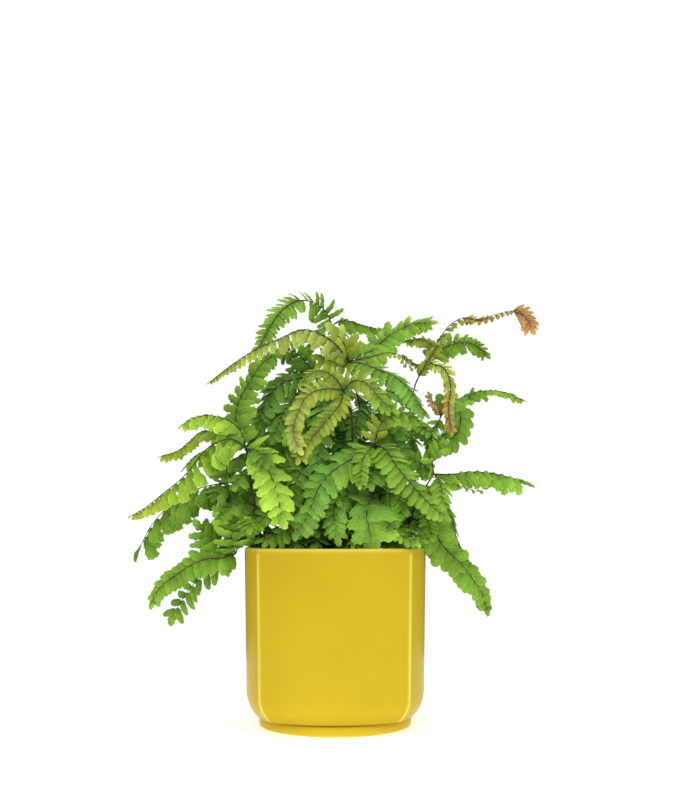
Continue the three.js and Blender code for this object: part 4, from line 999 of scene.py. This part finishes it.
def unit_leaflet(shape, thickness):
    """One leaflet a metre long, flat along X: a grid, pleated row by row, then shaped
    column by column and cut into rounded teeth."""
    outline, tooth = OUTLINES[shape], TOOTH[shape]
    deselect()
    bpy.ops.mesh.primitive_grid_add(x_subdivisions=len(outline) - 1, y_subdivisions=ROWS, size=1)
    leaf = started("leaflet_" + shape)
    columns = sorted({round(vertex.co.x, 4) for vertex in leaf.data.vertices})
    edit(leaf)
    for row, lift in enumerate(PLEATS):
        pick(leaf, lambda place: abs(place.y + 0.5 - row / ROWS) < NEAR)
        bpy.ops.transform.translate(value=(0, 0, lift))
    for x, (along, lower, upper, lift) in reversed(list(zip(columns, outline))):
        pick(leaf, lambda place: abs(place.x - x) < NEAR)
        bpy.ops.transform.resize(value=(1, upper - lower, 1), center_override=(x, 0, 0))
        bpy.ops.transform.translate(value=(along + ASIDE - x, (upper + lower) / 2, lift))
    bpy.ops.mesh.select_all(action="SELECT")
    bpy.ops.transform.translate(value=(-ASIDE, 0, 0))
    for i, (along, lower, upper, _) in enumerate(outline[1:-1], start=1):
        outward = tooth if i % 2 else -tooth
        for edge, side in ((upper, 1), (lower, -1)):
            pick(leaf, lambda place: abs(place.x - along) < NEAR and abs(place.y - edge) < NEAR)
            bpy.ops.transform.translate(value=(0.6 * tooth, side * outward, -0.5 * tooth))
    end, lower, upper, _ = outline[-1]
    for row, forward in enumerate(END_TEETH):
        level = lower + (upper - lower) * row / ROWS
        pick(leaf, lambda place: abs(place.x - end) < NEAR and abs(place.y - level) < NEAR)
        bpy.ops.transform.translate(value=(forward * tooth, 0, 0))
    bpy.ops.object.mode_set(mode="OBJECT")
    mark_leaflet(leaf)
    solid = leaf.modifiers.new("thickness", "SOLIDIFY")
    solid.thickness, solid.offset, solid.use_even_offset = thickness, 0, True
    bpy.ops.object.modifier_apply(modifier=solid.name)
    smooth(leaf)
    return leaf


def mark_leaflet(leaf):
    """Names the leaflet's own map, and marks its margin, apart from where it is attached."""
    mesh = leaf.data
    while mesh.uv_layers:
        mesh.uv_layers.remove(mesh.uv_layers[0])
    sheet = mesh.uv_layers.new(name="leaflet")
    for loop in mesh.loops:
        place = mesh.vertices[loop.vertex_index].co
        sheet.data[loop.index].uv = (place.x, place.y + 0.5)
    faces_at = dict.fromkeys((edge.key for edge in mesh.edges), 0)
    for face in mesh.polygons:
        for key in face.edge_keys:
            faces_at[key] += 1
    margin = {vertex for key, count in faces_at.items() if count == 1 for vertex in key}
    rim = mesh.attributes.new("rim", "FLOAT", "POINT")
    rim.data.foreach_set("value", [float(vertex.index in margin and vertex.co.x > 0.05)
                                   for vertex in mesh.vertices])
    mesh.color_attributes.new(name="tint", type="FLOAT_COLOR", domain="POINT")


def mirrored(leaf):
    """A copy of a unit leaflet for the other side of the rib."""
    twin = copied(leaf)
    edit(twin)
    bpy.ops.transform.resize(value=(1, -1, 1), center_override=(0, 0, 0))
    bpy.ops.mesh.flip_normals()
    bpy.ops.object.mode_set(mode="OBJECT")
    return twin


def leaflet_frame(arm, share, point, forward, hand, draw):
    """Where a leaflet starts beside the rib, and the directions of its length, width and
    upper side. Hand is 1 in the left row and -1 in the right row."""
    unrest = settings("fern").unrest * arm.unrest
    looking = arm.face.lerp(arm.face_end, share)
    side = looking.cross(forward).normalized()
    normal = forward.cross(side).normalized()
    droop = math.radians(arm.droop + draw.gauss(0, DROOP_SPREAD) * unrest)
    lean = arm.lean + 0.3 * share + draw.gauss(0, LEAN_SPREAD) * unrest
    out = (side * hand * math.cos(droop) - normal * math.sin(droop) + forward * lean).normalized()
    up = normal * math.cos(droop) + side * hand * math.sin(droop)
    up = (up - out * up.dot(out)).normalized()
    twist = math.radians(2 * arm.roll + draw.gauss(0, TWIST_SPREAD) * unrest) * hand
    across = up.cross(out)
    cosine, sine = math.cos(twist), math.sin(twist)
    up, across = up * cosine + across * sine, across * cosine - up * sine
    return point - normal * 0.8 * rib_radius(arm, share), out, across, up


def leaf_shape(arm, draw):
    """The outline of the next leaflet: oblong ones are mixed with arched and lobed ones."""
    if arm.leaf == "oblong":
        return draw.choice(("oblong", "oblong", "arched", "lobed"))
    return arm.leaf


def tinted(arm, share, draw):
    """A leaflet's own colour, from the finger's tone to its tip's, a bit lighter or warmer."""
    fern = settings("fern")
    start, end = Vector(getattr(fern, arm.tone)), Vector(getattr(fern, arm.tip))
    tone = start.lerp(end, share ** 1.4)
    light = math.exp(draw.gauss(0, LIGHT_SPREAD) * fern.unrest)
    warmth = draw.gauss(0, WARMTH_SPREAD) * fern.unrest
    return tone.x * light * (1 + warmth), tone.y * light, tone.z * light * (1 - warmth), 1.0


def grown_leaflet(unit, origin, out, across, up, length, width, tint, curl=0.0, roll=0.0):
    """A copy of a unit leaflet, curled, rolled more and more towards its end so that one
    edge lifts over its neighbour, placed, tinted and kept clear of the pot."""
    leaf = copied(unit)
    points = places(leaf)
    points[:, 2] += roll * points[:, 0] * points[:, 1] - curl * points[:, 0] ** 2
    set_places(leaf, points)
    columns = (out * length * MM, across * width * MM, up * length * MM, origin * MM)
    columns = [(*column, last) for column, last in zip(columns, (0, 0, 0, 1))]
    leaf.data.transform(Matrix(columns).transposed())
    set_places(leaf, in_box(clear_of_pot(places(leaf))))
    leaf.data.color_attributes["tint"].data.foreach_set("color", tint * len(points))
    return leaf


def leaflets_along(arm, route, units, draw):
    """All leaflets of one finger: two rows that take turns, and one at the tip. Each outline
    in units has a leaflet for the right row and its mirror image for the left row."""
    fern = settings("fern")
    leaves = []
    first, last = min(5, 0.12 * route.length), route.length - 0.1 * arm.length * arm.taper
    for hand, later, reach in ((1, 0.0, arm.left), (-1, 0.5, arm.right)):
        run = first + later * 0.4 * arm.length
        while run < last:
            share = run / route.length
            usual = leaflet_length(arm, share)
            length = fern.growth * usual * math.exp(draw.gauss(0, LENGTH_SPREAD))
            pitch = max(2.2, 0.42 * usual + 0.6) * arm.pitch
            shape = leaf_shape(arm, draw)
            placed = leaflet_frame(arm, share, *route.at(share), hand, draw)
            width = OVERLAP * pitch * arm.width / UNIT_WIDTH[shape]
            curl = draw.gauss(CURL, CURL_SPREAD) * fern.unrest
            roll = draw.gauss(ROLL, ROLL_SPREAD) * arm.roll * -hand
            leaves.append(grown_leaflet(units[shape][hand > 0], *placed, length * reach, width,
                                        tinted(arm, share, draw), curl, roll))
            run += pitch * math.exp(draw.gauss(0, PITCH_SPREAD))
    if arm.tipped:
        point, forward = route.at(1)
        side = arm.face_end.cross(forward).normalized()
        normal = forward.cross(side).normalized()
        length = 0.85 * leaflet_length(arm, 1) + 1
        unit = units["wedge" if arm.leaf == "wedge" else "oblong"][0]
        leaves.append(grown_leaflet(unit, point - forward * 0.5, forward, normal.cross(forward),
                                    normal, length, length * 1.1, tinted(arm, 1, draw)))
    return leaves


def wire(route, count, radius):
    """A closed thin stem along a route, as a curve turned into a mesh. The radius is given
    in millimetres, for a share of the route's length."""
    curve = bpy.data.curves.new("stem", "CURVE")
    curve.dimensions = "3D"
    curve.bevel_depth, curve.bevel_resolution, curve.use_fill_caps = MM, 1, True
    spline = curve.splines.new("POLY")
    spline.points.add(count)
    for i, knot in enumerate(spline.points):
        knot.co = (*(route.at(i / count)[0] * MM), 1)
        knot.radius = radius(i / count)
    stem = bpy.data.objects.new("stem", curve)
    bpy.context.collection.objects.link(stem)
    select(stem)
    bpy.ops.object.convert(target="MESH")
    return bpy.context.active_object


def stalk_and_ribs(frond):
    """The wiry stalk and the rib of every finger, joined into one piece."""
    fern, soil = settings("fern"), settings("soil")
    buried, level = soil.edge / MM - 6, soil.crown / MM + 1
    stalk = Route([(*frond.root, buried), (*frond.root, level), *frond.stalk])
    base, slim = fern.stalk_radius / MM, fern.rib_radius / MM
    count = max(8, int(stalk.length / 5))
    stems = [wire(stalk, count, lambda share: base + (slim - base) * share ** 1.5)]
    for arm, route in fingers_of(frond):
        stems.append(wire(route, max(5, int(route.length / 4)), lambda share: rib_radius(arm, share)))
    piece = joined(stems, frond.name + "_stems")
    set_places(piece, in_box(places(piece)))
    bpy.ops.object.shade_smooth()
    return piece


# ------------------------------------------------------------------ operators

class FERN_OT_glazed_pot(bpy.types.Operator):
    """Add the glazed pot with its ridges, rounded rim and low foot"""
    bl_idname = "fern.glazed_pot"
    bl_label = "Glazed Pot"
    bl_options = {"REGISTER", "UNDO"}

    def execute(self, context):
        pot = settings("pot")
        wide, high, foot, step = pot.half_width, pot.height, pot.foot_radius, pot.foot_height
        outer = bottom_curve(wide - pot.taper, pot.bottom_radius, pot.shoulder, step + pot.groove, 12)
        inner = inner_profile(0, pot.floor)
        piece = squared("pot_glazed", [
            *((foot - inwards * MM, up * MM, 0) for inwards, up in FOOT_BASE),
            *((foot - inwards * MM, step - down * MM, 0) for inwards, down in FOOT_TOP),
            *((*ring, self.squareness(ring[1])) for ring in outer),
            (wide - 0.5 * pot.taper, 0.5 * (pot.shoulder + high)),
            *((wide - inwards * MM, high - down * MM) for inwards, down in RIM),
            *((wide - pot.wall - inwards * MM, high - down * MM) for inwards, down in RIM_INSIDE),
            *reversed(inner), (0.3 * inner[0][0], pot.floor),
        ])
        smooth(piece)
        for name, values in zip(("thin", "pool"), glaze_marks(places(piece))):
            mark = piece.data.attributes.new(name, "FLOAT", "POINT")
            mark.data.foreach_set("value", values.astype(np.float32))
        finished(piece, glaze_finish(), "glaze", "pot")
        return {"FINISHED"}

    def squareness(self, height):
        """The bottom curve draws the plan towards the round foot."""
        pot = settings("pot")
        down = (pot.shoulder - height) / (pot.shoulder - pot.foot_height - pot.groove)
        return 1 - (1 - pot.groove_squareness) * down ** 2


class FERN_OT_potting_soil(bpy.types.Operator):
    """Add the soil that fills the pot, with crumbs on its surface"""
    bl_idname = "fern.potting_soil"
    bl_label = "Potting Soil"
    bl_options = {"REGISTER", "UNDO"}

    def execute(self, context):
        pot, soil = settings("pot"), settings("soil")
        edge = pot.half_width - pot.wall - soil.gap - 0.2 * MM
        inner = inner_profile(soil.gap, pot.floor + soil.gap)
        profile = [(0.4 * inner[0][0], pot.floor + soil.gap), *inner, (edge, soil.edge)]
        shares = [i / SOIL_RINGS for i in range(1, SOIL_RINGS)]
        profile += [(edge * (1 - share), soil_level(share)) for share in shares]
        piece = squared("soil_bed", profile)
        points = places(piece)
        for point in points:
            if point[2] > soil.edge - 0.1 * MM:
                point[2] += noise.fractal(Vector(point) * LUMPS, 0.8, 2.1, 4) * LUMP_HEIGHT * MM
        set_places(piece, points)
        smooth(piece, 40)
        finish = soil_finish()
        finished(piece, finish, "soil", "soil")
        if soil.crumbs:
            finished(self.crumbs(edge - 4 * MM), finish, "soil", "soil")
        return {"FINISHED"}

    def crumbs(self, widest):
        """Loose crumbs, strewn evenly over the soil."""
        draw = random.Random(settings("fern").seed * 101)
        deselect()
        bpy.ops.mesh.primitive_ico_sphere_add(subdivisions=1, radius=1, location=(0, 0, 0))
        unit = started("crumb")
        edit(unit)
        bpy.ops.mesh.subdivide(number_cuts=1, smoothness=0.6, fractal=2.2, seed=3)
        bpy.ops.transform.resize(value=(1, 0.8, 0.65), center_override=(0, 0, 0))
        bpy.ops.object.mode_set(mode="OBJECT")
        pieces = []
        for _ in range(settings("soil").crumbs):
            angle, share = draw.uniform(-math.pi, math.pi), math.sqrt(draw.random())
            reach = share * widest * float(plan_reach(angle))
            size = draw.uniform(0.8, 2.2) * MM
            place = (reach * math.cos(angle), reach * math.sin(angle), soil_level(1 - share))
            turn = Matrix.Rotation(draw.uniform(0, 6.28), 4, "Z")
            tilt = Matrix.Rotation(draw.gauss(0, 0.4), 4, "X")
            pieces.append(copied(unit))
            pieces[-1].data.transform(Matrix.Translation(place) @ (turn @ tilt) @ Matrix.Scale(size, 4))
        bpy.data.objects.remove(unit)
        return joined(pieces, "soil_crumbs")


class FERN_OT_fronds(bpy.types.Operator):
    """Add every frond: its wiry stalk and ribs, and its toothed leaflets"""
    bl_idname = "fern.fronds"
    bl_label = "Fronds"
    bl_options = {"REGISTER", "UNDO"}

    def execute(self, context):
        fern = settings("fern")
        units = {}
        for shape in OUTLINES:
            leaf = unit_leaflet(shape, fern.leaf_thickness)
            units[shape] = (leaf, mirrored(leaf))
        # Each leaf finish ends with the colour of its painted rim highlight, strongest deep inside the
        # plant.
        finishes = {
            "leaf": leaf_finish("fern_leaf", 0.4, (1.35, 1.25, 0.9)),
            "leaf_olive": leaf_finish("fern_leaf_olive", 0.46, (1.35, 1.25, 1.0)),
            "leaf_deep": leaf_finish("fern_leaf_deep", 0.42, (1.7, 1.6, 1.3)),
        }
        wiry = stem_finish()
        for frond in FRONDS:
            draw = random.Random(f"{fern.seed} {frond.name}")
            leaves = []
            for arm, route in fingers_of(frond):
                leaves += leaflets_along(arm, route, units, draw)
            piece = joined(leaves, frond.name + "_leaflets")
            finished(piece, finishes[frond.slot], frond.slot, frond.name)
            finished(stalk_and_ribs(frond), wiry, "stem", frond.name)
        for pair in units.values():
            for leaf in pair:
                bpy.data.objects.remove(leaf)
        return {"FINISHED"}


CAMERA_PLACE = (0.0123, -0.991, 0.173)
LENS, SENSOR = 53.1, 36  # millimetres
LENS_SHIFT = 0.1475
LIGHTS = {"key": ((-0.5, -1.7, 1.15), 1.3), "fill": ((1.0, -1.3, 0.75), 1.0),
          "top": ((0.1, 0.1, 1.6), 1.4)}  # each light's place and width
PLANT_MIDDLE = Vector((0, 0, 0.18))


class FERN_OT_stage(bpy.types.Operator):
    """Add the pale floor, the soft studio light and the camera"""
    bl_idname = "fern.stage"
    bl_label = "Stage"
    bl_options = {"REGISTER", "UNDO"}

    def execute(self, context):
        stage = settings("stage")
        deselect()
        bpy.ops.mesh.primitive_plane_add(size=stage.floor_size, location=(0, 0, 0))
        floor = started("floor")
        edit(floor)
        bpy.ops.mesh.subdivide(number_cuts=8)
        bpy.ops.object.mode_set(mode="OBJECT")
        floor.data.materials.append(floor_finish())
        for name, (place, size) in LIGHTS.items():
            self.light(name + "_light", place, getattr(stage, name), size)
        context.scene.world = self.surround(stage.surround)
        context.scene.camera = self.camera()
        context.scene.view_settings.view_transform = "Standard"
        return {"FINISHED"}

    def light(self, name, place, power, size):
        """A square light that looks at the middle of the plant."""
        bpy.ops.object.light_add(type="AREA", location=place)
        lamp = started(name)
        lamp.data.energy, lamp.data.size = power, size
        lamp.rotation_euler = (PLANT_MIDDLE - Vector(place)).to_track_quat("-Z", "Y").to_euler()

    def surround(self, strength):
        """Even white light, weaker in reflections, that the eye sees as a white backdrop."""
        world = bpy.data.worlds.new("studio")
        world.use_nodes = True
        tree = world.node_tree
        path = tree.nodes.new("ShaderNodeLightPath")
        light = self.backlight(tree.nodes["Background"], strength)
        for ray, level in (("Is Glossy Ray", 0.3 * strength), ("Is Camera Ray", 1.05)):
            mix = tree.nodes.new("ShaderNodeMixShader")
            other = self.backlight(tree.nodes.new("ShaderNodeBackground"), level)
            for socket, source in zip(mix.inputs, (path.outputs[ray], light, other)):
                tree.links.new(source, socket)
            light = mix.outputs[0]
        tree.links.new(light, tree.nodes["World Output"].inputs["Surface"])
        return world

    def backlight(self, node, strength):
        node.inputs["Color"].default_value = (1, 1, 1, 1)
        node.inputs["Strength"].default_value = strength
        return node.outputs[0]

    def camera(self):
        """A level camera at the photograph's place, its frame raised by the lens shift."""
        bpy.ops.object.camera_add(location=CAMERA_PLACE, rotation=(math.pi / 2, 0, 0))
        camera = started("photo_camera")
        camera.data.lens, camera.data.sensor_width = LENS, SENSOR
        camera.data.shift_y = LENS_SHIFT
        camera.data.clip_start = 10 * MM
        return camera


class FERN_PT_panel(bpy.types.Panel):
    """The fern's sizes, colours and pieces"""
    bl_idname = "FERN_PT_panel"
    bl_label = "Potted Fern"
    bl_space_type = "VIEW_3D"
    bl_region_type = "UI"
    bl_category = "Fern"

    def draw(self, context):
        operators = {"pot": "fern.glazed_pot", "soil": "fern.potting_soil", "fern": "fern.fronds",
                     "stage": "fern.stage"}
        for name, operator in operators.items():
            box = self.layout.box()
            box.label(text=name.capitalize())
            for prop in GROUPS[name].bl_rna.properties:
                if prop.identifier not in {"rna_type", "name"}:
                    box.prop(settings(name), prop.identifier)
            box.operator(operator)


GROUPS = {"pot": PotSettings, "soil": SoilSettings, "fern": FernSettings, "stage": StageSettings}
CLASSES = (*GROUPS.values(), FERN_OT_glazed_pot, FERN_OT_potting_soil, FERN_OT_fronds,
           FERN_OT_stage, FERN_PT_panel)


def register():
    for kind in CLASSES:
        bpy.utils.register_class(kind)
    for name, group in GROUPS.items():
        setattr(bpy.types.Scene, "fern_" + name, PointerProperty(type=group))


def unregister():
    for name in GROUPS:
        delattr(bpy.types.Scene, "fern_" + name)
    for kind in reversed(CLASSES):
        bpy.utils.unregister_class(kind)


def main():
    register()
    bpy.ops.fern.glazed_pot()
    bpy.ops.fern.potting_soil()
    bpy.ops.fern.fronds()
    bpy.ops.fern.stage()
    deselect()


if __name__ == "__main__":
    main()
